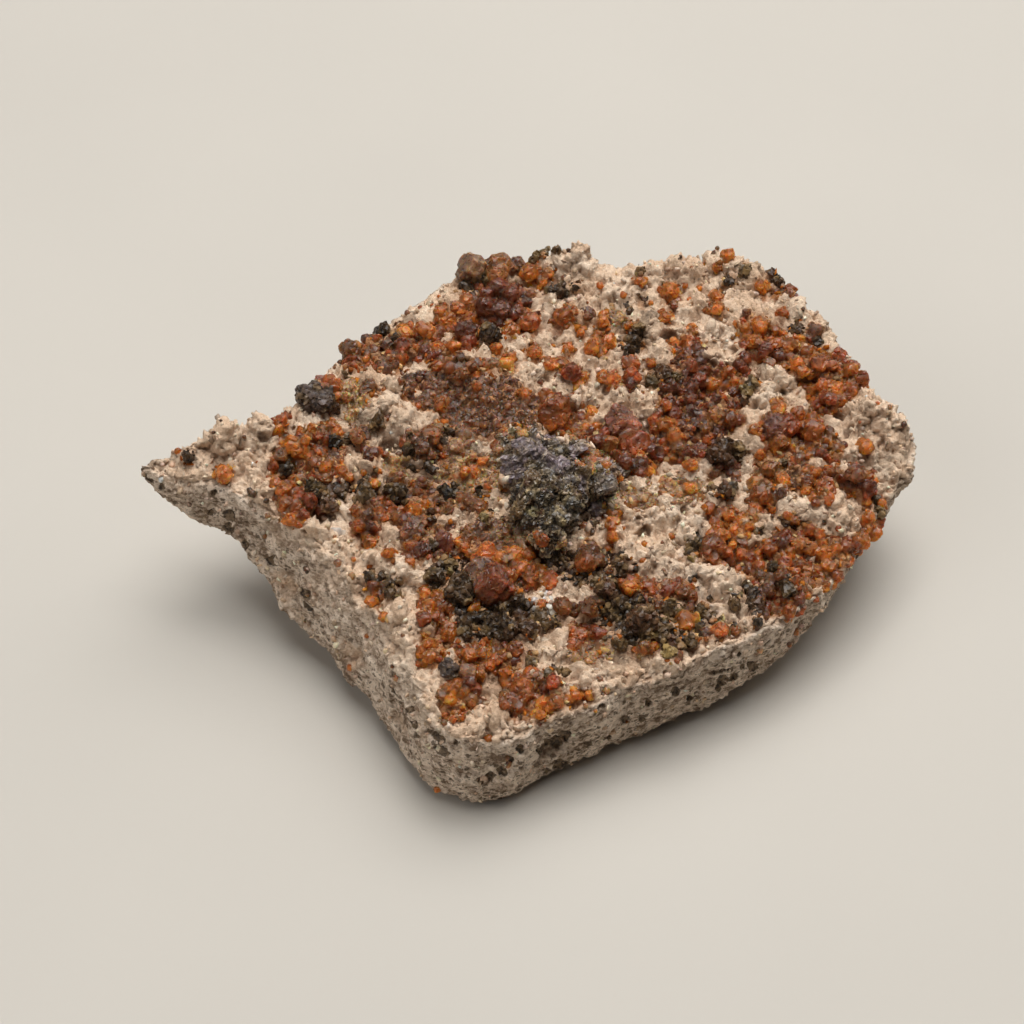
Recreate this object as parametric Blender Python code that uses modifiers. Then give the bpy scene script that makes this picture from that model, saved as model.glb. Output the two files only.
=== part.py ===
"""Garnet in matrix: a broken slab of pale granular rock with a crust of garnets on its upper face.

The slab is one solid, with its lumps, ledges and hollows. Garnets that have grown together are one
solid for each patch, and a crystal that stands alone is a solid of its own. The slab rests on the
flat under its middle and front, and its left tip and right end hang clear of the table.
"""
import math
from itertools import product
from random import Random

import bmesh
import bpy
import numpy as np
from mathutils import Euler, Matrix, Vector, noise
from mathutils.bvhtree import BVHTree

MM = 0.001
SPECIMEN = "garnet_in_matrix"
CRYSTAL_GAP = 0.3 * MM  # between a crystal and the rock, and between crystals of two solids

# The slab's broken outline, clockwise from its left tip, seen from above. Each station holds the rim's
# x, y and height, how far the lower edge leans out from under the rim, and the lower edge's height, in
# millimetres. The x and y axes start at the middle of the view below.
RIM_STATIONS = [
    (-43.5, -10.5, 18.0, -0.5, 15.5), (-40.5, -9.0, 19.0, -1.0, 14.0), (-37.5, -8.5, 20.0, -1.0, 12.5),
    (-33.0, -6.5, 20.5, -1.0, 10.0), (-28.5, -5.0, 20.5, -1.5, 8.5), (-25.0, -0.5, 20.0, -2.0, 7.0),
    (-20.5, 7.0, 20.0, -2.5, 6.0), (-14.5, 13.5, 20.5, -3.0, 5.0), (-8.5, 19.5, 21.0, -3.0, 5.0),
    (-2.5, 21.5, 21.5, -3.0, 4.5), (3.5, 23.0, 22.0, -3.0, 4.5), (8.0, 23.5, 22.5, -2.5, 4.5),
    (12.5, 22.0, 21.5, -2.0, 4.5), (19.0, 23.0, 21.5, -2.5, 5.0), (26.0, 24.0, 21.5, -3.0, 5.0),
    (32.5, 20.5, 21.5, -3.0, 5.0), (37.0, 14.0, 20.5, -2.5, 5.0), (41.0, 6.5, 20.0, -2.0, 6.0),
    (42.5, 1.5, 19.0, -1.0, 8.5), (45.0, 0.5, 18.5, -0.5, 10.5), (47.0, -4.5, 17.0, 0.0, 11.5),
    (46.5, -8.0, 15.5, -0.5, 11.0), (44.0, -11.5, 14.0, -1.5, 9.5), (40.5, -17.0, 13.0, -1.5, 8.0),
    (35.0, -25.0, 12.0, -1.0, 5.5), (27.5, -31.0, 12.0, -0.5, 3.0), (19.5, -35.5, 12.0, -0.5, 2.0),
    (12.0, -39.0, 11.5, -0.5, 1.5), (5.0, -43.0, 11.5, -0.5, 1.5), (0.0, -46.0, 11.0, -0.5, 1.0),
    (-5.0, -46.0, 11.5, 0.5, 1.0), (-8.5, -43.5, 12.0, 1.5, 1.5), (-10.5, -39.5, 13.0, 2.0, 2.0),
    (-13.0, -34.0, 14.0, 2.5, 2.5), (-16.0, -29.0, 15.0, 3.0, 3.0), (-19.5, -23.5, 16.0, 3.5, 4.0),
    (-24.0, -19.5, 17.0, 3.5, 5.5), (-28.5, -15.5, 17.5, 2.0, 8.0), (-34.5, -12.5, 18.0, 1.0, 11.5),
    (-40.0, -12.0, 18.0, 0.5, 14.0),
]
SLAB_MIDDLE = (4.0, -12.0)  # mm, the point that the slab's rings close on
ORIGIN = (2.3, -11.3)  # mm, the middle of the finished specimen's box, seen from above
TOP_HEIGHT = 18.9  # mm, the upper face's mean plane at x = y = 0
TOP_SLOPE = (-0.042, 0.166)  # its rise for each mm of x and y
TOP_RINGS = (0.2, 0.4, 0.6, 0.8, 0.93)  # of the way from the middle to the rim
RIM_CURL = 4  # the higher, the nearer the rim the upper face rises to it
SWELL_DEPTH = 0.45  # of the way down a side face, where it swells out
SIDE_SWELL = 0.6  # mm, how far it stands out there
BASE_INSET = (2.0, 1.15)  # mm, and for each mm that the lower edge hangs over the table
BASE_DEPTH = -0.8  # mm, cut off flat at zero
ROCK_VOXEL = 0.8 * MM
ROCK_FACES = 2850  # triangles that the finished slab is thinned to
TOP_ROUGHNESS = 0.75  # mm
SIDE_ROUGHNESS = 0.5  # mm
GRAIN_SPACING = 3.8  # mm, from one rough knob of the rock to the next
LEVEL_FACE = (0.25, 0.7)  # the normal's z where a face counts as a side, and as the top
POCKET_SPREAD = 1.4  # how much wider than its radius a side pocket's slope runs
ROCK_COLOUR = (0.66, 0.56, 0.47)
ROCK_ROUGHNESS = 0.9
CRYSTAL_ROUGHNESS = 0.25
CRUST_ROUGHNESS = 0.3

# The view that places are read in: 1024 pixels square, its middle on the table where x = y = 0.
VIEW_FOCAL = 2660.0  # pixels
VIEW_MIDDLE = 512.0  # pixels
VIEW_PITCH = math.radians(45.0)
EYE = Vector((0.0, -230.2, 230.2)) * MM
PIXELS_PER_MM = 8.1  # near the specimen
FORESHORTENING = 0.82  # of a length that runs away from the eye over the upper face

# Lumps of bare rock that stand out of the upper face: pixels, then radius and height in millimetres.
ROCK_LUMPS = [
    (147, 468, 2.6, 0.6), (188, 450, 2.4, 0.5), (224, 436, 3.0, 1.1), (262, 430, 2.2, 1.2),
    (395, 392, 2.8, 2.0), (402, 420, 3.4, 1.0), (380, 404, 2.0, 1.0), (576, 262, 3.4, 2.3),
    (610, 282, 2.4, 1.2), (556, 290, 2.2, 0.9), (642, 276, 2.8, 1.0), (690, 270, 2.6, 1.1),
    (722, 264, 2.6, 1.4), (752, 286, 2.4, 1.0), (720, 304, 2.4, 0.8), (708, 336, 2.2, 1.3),
    (716, 362, 2.2, 1.3), (740, 350, 1.8, 1.1), (782, 384, 3.6, 1.7), (758, 398, 2.4, 1.0),
    (530, 372, 2.8, 1.0), (592, 382, 2.2, 0.8), (650, 402, 2.2, 1.0), (640, 512, 3.0, 1.3),
    (676, 502, 2.8, 1.7), (650, 556, 2.8, 1.6), (622, 556, 1.8, 1.0), (702, 566, 3.0, 1.5),
    (730, 586, 2.4, 0.8), (826, 506, 4.0, 1.9), (856, 522, 2.2, 1.0), (800, 508, 2.0, 0.8),
    (362, 468, 2.4, 0.8), (402, 568, 2.8, 1.4), (345, 536, 2.4, 0.6), (402, 628, 2.6, 0.9),
    (604, 672, 3.4, 1.2), (560, 682, 2.0, 0.8), (504, 722, 2.6, 1.2), (432, 700, 2.0, 0.7),
    (868, 420, 3.2, 2.0), (896, 432, 2.6, 1.4), (852, 388, 2.0, 1.0), (566, 650, 2.2, 1.0),
    (716, 506, 2.4, 1.1), (560, 600, 1.8, 0.7), (320, 556, 2.0, 0.5), (446, 506, 2.0, 0.7),
]
# Hollows and pits in the upper face: pixels, then radius and depth in millimetres.
ROCK_HOLLOWS = [
    (326, 512, 2.8, 1.5), (640, 340, 1.9, 1.4), (670, 334, 1.5, 1.1), (728, 346, 1.4, 1.2),
    (640, 532, 1.5, 1.3), (608, 546, 1.8, 1.0), (540, 546, 2.2, 1.6), (462, 412, 6.0, 0.9),
    (430, 480, 6.0, 0.7), (704, 384, 3.6, 1.2), (486, 622, 5.0, 0.8), (748, 546, 3.8, 0.8),
    (494, 686, 3.4, 1.2), (590, 460, 3.0, 0.6), (300, 470, 4.0, 0.7), (838, 460, 2.4, 0.6),
]
# Pockets in the broken side faces: x, y and z, then radius and depth in millimetres.
SIDE_POCKETS = [
    (5.0, -43.5, 6.5, 2.0, 1.3), (22.0, -34.5, 7.5, 2.2, 1.0), (33.0, -26.5, 8.5, 2.4, 1.0),
    (-25.0, -20.5, 11.0, 2.4, 0.9), (-17.5, -30.0, 8.0, 2.2, 0.9), (-12.5, -39.0, 7.0, 2.0, 0.8),
    (46.5, -10.0, 12.0, 2.0, 0.9), (15.0, 22.0, 14.0, 3.0, 1.2), (-10.0, 17.0, 12.0, 3.0, 1.1),
    (35.0, 14.0, 12.0, 2.8, 1.2),
]

GARNET_ORANGE = (0.42, 0.11, 0.02)
GARNET_RED = (0.24, 0.045, 0.02)
GARNET_BROWN = (0.16, 0.06, 0.035)
DARK_GREEN = (0.035, 0.04, 0.033)
DARK_OLIVE = (0.10, 0.085, 0.04)

# Patches of crystals that have grown together: the patch's outline in pixels, the crystals' form, their
# radius range and spacing in millimetres, their colour, and the large ones in it, each by its pixels and
# radius in millimetres.
CRUSTS = {
    "left_garnet_crust": (
        [(272, 442), (296, 420), (330, 424), (350, 440), (352, 476), (338, 492), (344, 512), (318, 522),
         (292, 520), (280, 494)],
        "garnet", (1.4, 2.1), 2.5, GARNET_RED, [(282, 424, 1.6), (292, 478, 1.7), (330, 452, 1.7)]),
    "upper_left_garnet_crust": (
        [(398, 338), (422, 322), (462, 322), (492, 344), (484, 368), (446, 366), (412, 360)],
        "garnet", (1.3, 1.9), 2.5, GARNET_ORANGE, [(410, 337, 1.5), (426, 334, 1.4), (506, 364, 1.4)]),
    "back_garnet_crust": (
        [(462, 312), (484, 286), (524, 282), (536, 300), (534, 326), (500, 342), (474, 334)],
        "garnet", (1.6, 2.2), 2.7, GARNET_RED, [(506, 302, 2.4), (484, 316, 2.2), (530, 326, 1.4)]),
    "crest_garnets": (
        [], "ball", (1.5, 2.0), 3.0, GARNET_RED,
        [(471, 267, 1.9), (497, 266, 2.3), (515, 258, 1.4), (528, 271, 1.7)]),
    "middle_garnet_crust": (
        [(534, 346), (560, 340), (588, 352), (592, 376), (574, 388), (548, 378)],
        "garnet", (1.3, 1.8), 2.5, GARNET_ORANGE, [(560, 364, 1.7), (574, 374, 1.6)]),
    "layered_garnet_crust": (
        [(536, 396), (560, 390), (588, 400), (590, 424), (566, 434), (542, 424)],
        "garnet", (1.7, 2.4), 2.6, GARNET_RED, [(556, 408, 2.6)]),
    "right_rim_garnet_crust": (
        [(736, 322), (772, 310), (808, 328), (842, 352), (866, 386), (850, 398), (820, 376), (788, 356),
         (752, 350)],
        "garnet", (1.4, 2.0), 2.7, GARNET_RED, [(764, 332, 1.9), (796, 344, 1.8), (838, 372, 1.7)]),
    "valley_garnet_crust": (
        [(662, 372), (686, 346), (716, 376), (734, 396), (722, 424), (694, 456), (660, 450), (664, 412)],
        "garnet", (1.4, 2.1), 2.7, GARNET_RED, [(694, 352, 1.7), (676, 436, 2.3), (690, 398, 1.9)]),
    "right_garnet_crust": (
        [(756, 410), (786, 404), (826, 412), (842, 436), (812, 452), (786, 462), (774, 500), (748, 504),
         (744, 478), (768, 448)],
        "garnet", (1.3, 1.9), 2.5, GARNET_RED, [(781, 427, 2.5), (815, 432, 1.9), (758, 496, 1.9)]),
    "right_front_garnet_crust": (
        [(706, 534), (742, 516), (790, 526), (838, 534), (864, 516), (884, 524), (868, 548), (830, 574),
         (796, 604), (764, 600), (752, 566), (720, 560)],
        "garnet", (1.4, 2.0), 2.8, GARNET_BROWN, [(714, 547, 2.0), (790, 612, 1.2), (844, 548, 1.8)]),
    "front_garnet_crust": (
        [(434, 566), (462, 558), (514, 566), (560, 588), (566, 616), (530, 634), (478, 634), (444, 614),
         (428, 592)],
        "garnet", (1.6, 2.3), 2.9, DARK_OLIVE, [(490, 582, 2.9), (457, 590, 1.9), (525, 616, 2.2)]),
    "corner_garnet_crust": (
        [(440, 690), (466, 668), (504, 666), (556, 668), (590, 690), (560, 708), (520, 716), (496, 700),
         (462, 716)],
        "garnet", (1.3, 1.9), 2.5, GARNET_ORANGE, [(523, 687, 2.1), (460, 700, 1.9)]),
    "inner_garnet_crust": (
        [(352, 500), (378, 496), (392, 512), (430, 512), (462, 532), (452, 552), (422, 552), (404, 536),
         (372, 540), (354, 524)],
        "garnet", (1.3, 1.9), 2.6, GARNET_BROWN, [(414, 536, 2.2), (446, 541, 1.8), (366, 516, 1.7)]),
    "olive_garnet_knob": (
        [(586, 604), (606, 580), (652, 582), (694, 604), (700, 626), (668, 650), (622, 646), (590, 632)],
        "garnet", (1.8, 2.5), 3.0, DARK_OLIVE, [(628, 612, 3.2), (681, 622, 2.2), (602, 596, 1.8)]),
    "brown_druse": (
        [(406, 388), (440, 372), (500, 376), (526, 392), (522, 424), (494, 430), (450, 438), (418, 414)],
        "garnet", (1.7, 2.3), 3.1, GARNET_BROWN, []),
    "stained_druse": (
        [(398, 452), (440, 448), (480, 444), (490, 482), (476, 514), (442, 492), (404, 486)],
        "garnet", (1.7, 2.2), 3.1, GARNET_ORANGE, []),
    "dark_cluster": (
        [(500, 452), (530, 436), (572, 444), (612, 476), (604, 506), (584, 524), (566, 540), (528, 536),
         (508, 516), (512, 486)],
        "block", (2.0, 2.9), 2.7, DARK_GREEN, [(532, 462, 3.0), (558, 474, 3.2), (560, 512, 3.3)]),
}

# Crystals that stand alone: pixels, radius in millimetres, form and colour.
SINGLES = {
    "lone_orange_garnet": (224, 473, 0.9, "garnet", GARNET_ORANGE),
    "left_rim_garnet": (350, 349, 1.8, "ball", DARK_OLIVE),
    "left_red_garnet": (331, 384, 1.4, "garnet", GARNET_RED),
    "glowing_orange_garnet": (606, 342, 1.4, "ball", GARNET_ORANGE),
    "red_garnet": (632, 373, 1.8, "ball", GARNET_RED),
    "tall_purple_garnet": (627, 434, 2.6, "tall", GARNET_RED),
    "small_orange_garnet": (778, 408, 0.9, "garnet", GARNET_ORANGE),
    "right_edge_garnet": (868, 490, 1.4, "garnet", GARNET_BROWN),
    "right_middle_garnet": (828, 487, 1.4, "garnet", GARNET_RED),
    "front_pair_garnet": (500, 655, 1.3, "garnet", GARNET_RED),
    "stained_edge_garnet": (613, 516, 1.2, "garnet", GARNET_ORANGE),
    "left_rim_dark_crystal": (318, 401, 2.7, "slab", DARK_GREEN),
    "tip_dark_crystal": (190, 454, 1.2, "block", DARK_OLIVE),
    "back_dark_crystal": (552, 245, 1.5, "block", DARK_GREEN),
    "back_right_dark_crystal": (772, 270, 1.4, "block", DARK_GREEN),
    "lamellar_dark_crystal": (322, 493, 2.6, "slab", DARK_OLIVE),
    "dark_grain_left": (372, 484, 1.3, "block", DARK_GREEN),
    "dark_lump": (728, 459, 2.5, "slab", DARK_OLIVE),
    "pale_rimmed_dark_crystal": (724, 492, 1.9, "slab", DARK_GREEN),
    "glassy_dark_crystal": (436, 572, 1.1, "block", DARK_GREEN),
    "left_olive_crystal": (378, 585, 1.9, "slab", DARK_OLIVE),
    "corner_olive_crystal": (456, 668, 1.7, "block", DARK_OLIVE),
    "right_front_dark_crystal": (750, 622, 1.5, "block", DARK_GREEN),
    "mica_flake": (336, 533, 1.5, "flake", (0.6, 0.6, 0.58)),
    "middle_brown_garnet": (590, 554, 1.4, "garnet", GARNET_BROWN),
}
STAND = {"garnet": 0.42, "ball": 0.62, "tall": 0.55, "block": 0.35, "slab": 0.28, "flake": 0.25}
CRUST_VOXELS = (0.25 * MM, 0.23 * MM, 0.27 * MM, 0.2 * MM)  # the first that gives a closed solid is used
CRYSTAL_FACES = 11  # triangles for each crystal that a patch is thinned to
ROW_STEP = math.sqrt(3) / 2  # of a triangular grid's spacing
SCATTER_JITTER = 0.15  # of the spacing
SCATTER_STAND = (0.35, 0.6)  # of a crystal's radius, how high its middle is over the rock
SCATTER_SEED = 11
MERGE_DISTANCE = 5e-7  # m, under which two points of a solid are one


def top_plane(x, y):
    """Height of the upper face's mean plane, all in millimetres."""
    return TOP_HEIGHT + TOP_SLOPE[0] * x + TOP_SLOPE[1] * y


def sight_line(u, v):
    """Direction from the eye through a pixel of the view."""
    right = (u - VIEW_MIDDLE) / VIEW_FOCAL
    down = (v - VIEW_MIDDLE) / VIEW_FOCAL
    sine, cosine = math.sin(VIEW_PITCH), math.cos(VIEW_PITCH)
    return Vector((right, cosine - down * sine, -sine - down * cosine)).normalized()


def on_plane(u, v):
    """The point of the upper face's mean plane that a pixel shows, in millimetres."""
    eye, way = EYE / MM, sight_line(u, v)
    height = eye.z - top_plane(eye.x, eye.y)
    sink = TOP_SLOPE[0] * way.x + TOP_SLOPE[1] * way.y - way.z
    return eye + way * (height / sink)


def new_object(name, mesh, collection):
    """An object of that mesh, linked to the collection."""
    made = bpy.data.objects.new(name, mesh)
    collection.objects.link(made)
    return made


def mesh_of(bm, name):
    """A mesh datablock of a bmesh, which is freed."""
    mesh = bpy.data.meshes.new(name)
    bm.to_mesh(mesh)
    bm.free()
    return mesh


def apply_modifiers(target):
    """Replaces an object's mesh with its evaluated mesh and clears its modifiers."""
    bpy.context.view_layer.update()
    graph = bpy.context.evaluated_depsgraph_get()
    mesh = bpy.data.meshes.new_from_object(target.evaluated_get(graph))
    target.modifiers.clear()
    target.data = mesh


def boolean(target, others, operation, solver="EXACT"):
    """Applies one Boolean of the target with the other objects."""
    group = bpy.data.collections.new("boolean_operands")
    bpy.context.scene.collection.children.link(group)
    for other in others:
        group.objects.link(other)
    cut = target.modifiers.new(operation.lower(), "BOOLEAN")
    cut.operation = operation
    cut.solver = solver
    cut.operand_type = "COLLECTION"
    cut.collection = group
    apply_modifiers(target)
    bpy.data.collections.remove(group)


def cage_section(station, outward):
    """The points of one section through the slab, from near the middle of the top to the base."""
    x, y, rim, lean, underside = station
    middle = Vector((*SLAB_MIDDLE, 0))
    edge = Vector((x, y, 0))
    lift = rim - top_plane(x, y)
    points = []
    for share in TOP_RINGS:
        place = middle.lerp(edge, share)
        points.append((place.x, place.y, top_plane(place.x, place.y) + lift * share ** RIM_CURL))
    points.append((x, y, rim))
    halfway = edge + outward * (SWELL_DEPTH * lean + SIDE_SWELL)
    points.append((halfway.x, halfway.y, (1 - SWELL_DEPTH) * rim + SWELL_DEPTH * underside))
    foot = edge + outward * lean
    points.append((foot.x, foot.y, underside))
    inset = BASE_INSET[0] + BASE_INSET[1] * underside
    inward = (middle - foot).normalized()
    base = foot + inward * inset
    points.append((base.x, base.y, BASE_DEPTH))
    base = base.lerp(middle, 0.5)
    points.append((base.x, base.y, BASE_DEPTH))
    return points


def slab_cage():
    """The slab's coarse closed cage, lofted through the rim's stations."""
    bm = bmesh.new()
    count = len(RIM_STATIONS)
    rings = []
    for index, station in enumerate(RIM_STATIONS):
        before, after = RIM_STATIONS[index - 1], RIM_STATIONS[(index + 1) % count]
        along = Vector((after[0] - before[0], after[1] - before[1], 0)).normalized()
        outward = Vector((-along.y, along.x, 0))
        rings.append([bm.verts.new(Vector(p) * MM) for p in cage_section(station, outward)])
    top = bm.verts.new(Vector((*SLAB_MIDDLE, top_plane(*SLAB_MIDDLE))) * MM)
    base = bm.verts.new(Vector((*SLAB_MIDDLE, BASE_DEPTH)) * MM)
    for index in range(count):
        here, there = rings[index], rings[(index + 1) % count]
        bm.faces.new((top, there[0], here[0]))
        bm.faces.new((base, here[-1], there[-1]))
        for step in range(len(here) - 1):
            bm.faces.new((here[step], there[step], there[step + 1], here[step + 1]))
    bmesh.ops.recalc_face_normals(bm, faces=bm.faces)
    return mesh_of(bm, "slab_cage")


def dome(distance, radius):
    """1 at the middle of a lump, falling smoothly to 0 at its radius."""
    share = np.clip(1 - (distance / radius) ** 2, 0, None)
    return share * share


def roughness(place, spacing):
    """Rough knobs of the rock, about -1 to 1, at a place in millimetres."""
    return noise.fractal(Vector(place) / spacing, 0.8, 2.1, 3, noise_basis="PERLIN_ORIGINAL")


def carve_relief(mesh):
    """Moves the slab's points to its lumps, hollows, pockets and rough grain."""
    count = len(mesh.vertices)
    places = np.empty(count * 3)
    normals = np.empty(count * 3)
    mesh.vertices.foreach_get("co", places)
    mesh.vertices.foreach_get("normal", normals)
    places = places.reshape(-1, 3) / MM
    normals = normals.reshape(-1, 3)
    side, level = LEVEL_FACE
    upward = np.clip((normals[:, 2] - side) / (level - side), 0, 1)
    lift = np.zeros(count)
    for features, sign in ((ROCK_LUMPS, 1), (ROCK_HOLLOWS, -1)):
        for u, v, radius, height in features:
            spot = on_plane(u, v)
            distance = np.hypot(places[:, 0] - spot.x, places[:, 1] - spot.y)
            lift += sign * height * dome(distance, radius)
    push = np.zeros(count)
    for x, y, z, radius, depth in SIDE_POCKETS:
        distance = np.linalg.norm(places - (x, y, z), axis=1)
        push -= depth * dome(distance, radius * POCKET_SPREAD)
    rough = np.array([roughness(place, GRAIN_SPACING) for place in places])
    places[:, 2] += upward * (lift + TOP_ROUGHNESS * rough)
    places += normals * ((1 - upward) * (push + SIDE_ROUGHNESS * rough))[:, None]
    mesh.vertices.foreach_set("co", (places * MM).ravel())
    mesh.update()


def cut_flat_base(mesh):
    """Cuts the slab off at the table and closes it with one flat face."""
    bm = bmesh.new()
    bm.from_mesh(mesh)
    whole = bm.verts[:] + bm.edges[:] + bm.faces[:]
    cut = bmesh.ops.bisect_plane(
        bm, geom=whole, dist=1e-7, plane_co=(0, 0, 0), plane_no=(0, 0, 1), clear_inner=True)
    edges = [item for item in cut["geom_cut"] if isinstance(item, bmesh.types.BMEdge)]
    bmesh.ops.holes_fill(bm, edges=edges, sides=0)
    bmesh.ops.dissolve_degenerate(bm, dist=2 * MERGE_DISTANCE, edges=bm.edges)
    bmesh.ops.triangulate(bm, faces=bm.faces)
    bmesh.ops.recalc_face_normals(bm, faces=bm.faces)
    bm.to_mesh(mesh)
    bm.free()


def build_slab(collection):
    """The matrix: the cage made even, its relief carved, thinned, and cut flat where it rests."""
    slab = new_object("matrix", slab_cage(), collection)
    even = slab.modifiers.new("even", "REMESH")
    even.mode = "VOXEL"
    even.voxel_size = ROCK_VOXEL
    apply_modifiers(slab)
    carve_relief(slab.data)
    slab.data.calc_loop_triangles()
    thin = slab.modifiers.new("thin", "DECIMATE")
    thin.ratio = ROCK_FACES / len(slab.data.loop_triangles)
    apply_modifiers(slab)
    cut_flat_base(slab.data)
    return slab


def ground_under_crystals(slab, collection):
    """The rock swollen by the crystals' gap, which cuts the undersides of the crystals to fit it."""
    ground = new_object("ground", slab.data.copy(), collection)
    swell = ground.modifiers.new("swell", "DISPLACE")
    swell.strength = CRYSTAL_GAP
    swell.mid_level = 0
    apply_modifiers(ground)
    return ground


def signed(*sizes):
    """Every point whose coordinates have those sizes with any signs."""
    return list(product(*((size, -size) if size else (0,) for size in sizes)))


def dodecahedron_points():
    """The 14 corners of a garnet's twelve-faced form, the furthest at 1 from the middle."""
    return signed(0.5, 0.5, 0.5) + signed(1, 0, 0) + signed(0, 1, 0) + signed(0, 0, 1)


def trapezohedron_points():
    """The 26 corners of a garnet's form of 24 kite faces, the furthest at 1 from the middle."""
    edge = 2 / 3
    ridges = signed(edge, edge, 0) + signed(edge, 0, edge) + signed(0, edge, edge)
    return signed(0.5, 0.5, 0.5) + signed(1, 0, 0) + signed(0, 1, 0) + signed(0, 0, 1) + ridges


def prism_points(sides, length, width, tip):
    """A prism of that many sides along x, its ends drawn in to a share of its width."""
    points = []
    for turn in range(sides):
        angle = math.tau * (turn + 0.5) / sides
        across, over = math.cos(angle), math.sin(angle)
        points.append((-length, across * tip, over * width * tip))
        points.append((length, across, over * width))
    return points


CRYSTAL_FORMS = {
    "garnet": (dodecahedron_points(), (1, 1, 1)),
    "ball": (trapezohedron_points(), (1, 1, 1)),
    "tall": (trapezohedron_points(), (0.86, 0.86, 1.22)),
    "block": (prism_points(5, 0.75, 0.8, 0.75), (1, 0.8, 0.85)),
    "slab": (prism_points(6, 0.85, 0.7, 0.8), (1, 0.6, 0.6)),
    "flake": (prism_points(5, 0.8, 0.8, 0.9), (1, 0.7, 0.25)),
}


def crystal(form, middle, radius, turn, collection):
    """One crystal: the closed hull of its form's corners, at its size, turn and place."""
    corners, stretch = CRYSTAL_FORMS[form]
    place = Matrix.Translation(middle) @ turn.to_matrix().to_4x4() @ Matrix.Diagonal((*stretch, 1))
    bm = bmesh.new()
    for corner in corners:
        bm.verts.new(place @ (Vector(corner) * radius))
    bmesh.ops.convex_hull(bm, input=bm.verts)
    bmesh.ops.recalc_face_normals(bm, faces=bm.faces)
    return new_object("crystal", mesh_of(bm, "crystal"), collection)


def drop_small_bodies(mesh):
    """Keeps only the largest of a mesh's separate bodies."""
    bm = bmesh.new()
    bm.from_mesh(mesh)
    unseen = set(bm.verts)
    bodies = []
    while unseen:
        body, front = set(), [unseen.pop()]
        while front:
            vert = front.pop()
            body.add(vert)
            for edge in vert.link_edges:
                other = edge.other_vert(vert)
                if other in unseen:
                    unseen.remove(other)
                    front.append(other)
        bodies.append(body)
    bodies.sort(key=len)
    small = [vert for body in bodies[:-1] for vert in body]
    bmesh.ops.delete(bm, geom=small, context="VERTS")
    bmesh.ops.remove_doubles(bm, verts=bm.verts, dist=MERGE_DISTANCE)
    bmesh.ops.dissolve_degenerate(bm, dist=MERGE_DISTANCE, edges=bm.edges)
    bmesh.ops.triangulate(bm, faces=bm.faces)
    bm.to_mesh(mesh)
    bm.free()


class Seats:
    """Finds where crystals sit on the rock, and keeps those of different solids apart."""

    def __init__(self, slab):
        self.tree = BVHTree.FromPolygons(
            [vert.co for vert in slab.data.vertices], [face.vertices for face in slab.data.polygons])
        self.taken = []

    def middle(self, u, v, rise):
        """The point on a pixel's sight line that is the rise above the rock."""
        way = sight_line(u, v)
        hit = self.tree.ray_cast(EYE, way)[0]
        if hit is None:
            hit = self.tree.find_nearest(on_plane(u, v) * MM)[0]
            return hit + Vector((0, 0, rise))
        climb = -way.z + TOP_SLOPE[1] * math.cos(VIEW_PITCH)
        return hit - way * (rise / climb)

    def free(self, middle, radius, solid):
        """True if a crystal there stays clear of every other solid's crystals."""
        return all(
            owner == solid or (middle - place).length > radius + size + CRYSTAL_GAP
            for place, size, owner in self.taken)

    def take(self, middle, radius, solid):
        """Notes that a solid has a crystal there."""
        self.taken.append((middle, radius, solid))


def inside(outline, u, v):
    """True if a pixel lies inside an outline."""
    within = False
    for (u0, v0), (u1, v1) in zip(outline, outline[1:] + outline[:1]):
        if (v0 > v) != (v1 > v) and u < u0 + (v - v0) / (v1 - v0) * (u1 - u0):
            within = not within
    return within


def scatter(outline, spacing, draw):
    """Jittered places on a triangular grid inside an outline, in pixels."""
    step = spacing * PIXELS_PER_MM
    row_step = step * ROW_STEP * FORESHORTENING
    if not outline:
        return
    lowest = min(v for _, v in outline)
    rows = int((max(v for _, v in outline) - lowest) / row_step) + 1
    left = min(u for u, _ in outline)
    columns = int((max(u for u, _ in outline) - left) / step) + 2
    for row in range(rows):
        for column in range(columns):
            u = left + (column + 0.5 * (row % 2) + draw.uniform(-SCATTER_JITTER, SCATTER_JITTER)) * step
            v = lowest + (row + 0.5 + draw.uniform(-SCATTER_JITTER, SCATTER_JITTER)) * row_step
            if inside(outline, u, v):
                yield u, v


def random_turn(draw):
    """Any rotation."""
    return Euler([draw.uniform(0, math.tau) for _ in range(3)])


def lying_turn(draw):
    """A rotation that leaves a long crystal lying near flat."""
    return Euler((draw.uniform(-0.25, 0.25), draw.uniform(-0.25, 0.25), draw.uniform(-0.6, 0.6)))


def turn_for(form, draw):
    """The rotation of a crystal of that form."""
    return lying_turn(draw) if form in ("slab", "flake", "tall") else random_turn(draw)


def is_closed(mesh):
    """True if every edge joins exactly two faces, also once points that touch are made one."""
    bm = bmesh.new()
    bm.from_mesh(mesh)
    bmesh.ops.remove_doubles(bm, verts=bm.verts, dist=2 * MERGE_DISTANCE)
    closed = all(len(edge.link_faces) == 2 for edge in bm.edges)
    bm.free()
    return closed


def thinned(name, joined, voxel, faces, workshop):
    """A closed solid of about that many triangles, made from crystals that are joined in one mesh."""
    solid = new_object(name, joined.copy(), workshop)
    even = solid.modifiers.new("even", "REMESH")
    even.mode = "VOXEL"
    even.voxel_size = voxel
    apply_modifiers(solid)
    drop_small_bodies(solid.data)
    solid.data.calc_loop_triangles()
    thin = solid.modifiers.new("thin", "DECIMATE")
    thin.ratio = faces / len(solid.data.loop_triangles)
    apply_modifiers(solid)
    return solid


def fit_to_rock(name, solid, ground, collection):
    """Fits a solid's underside to the rock, and files it under its name."""
    boolean(solid, [ground], "DIFFERENCE", "MANIFOLD")
    drop_small_bodies(solid.data)
    solid.name = name
    solid.data.name = name
    for holder in solid.users_collection:
        holder.objects.unlink(solid)
    collection.objects.link(solid)
    return solid


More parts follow.
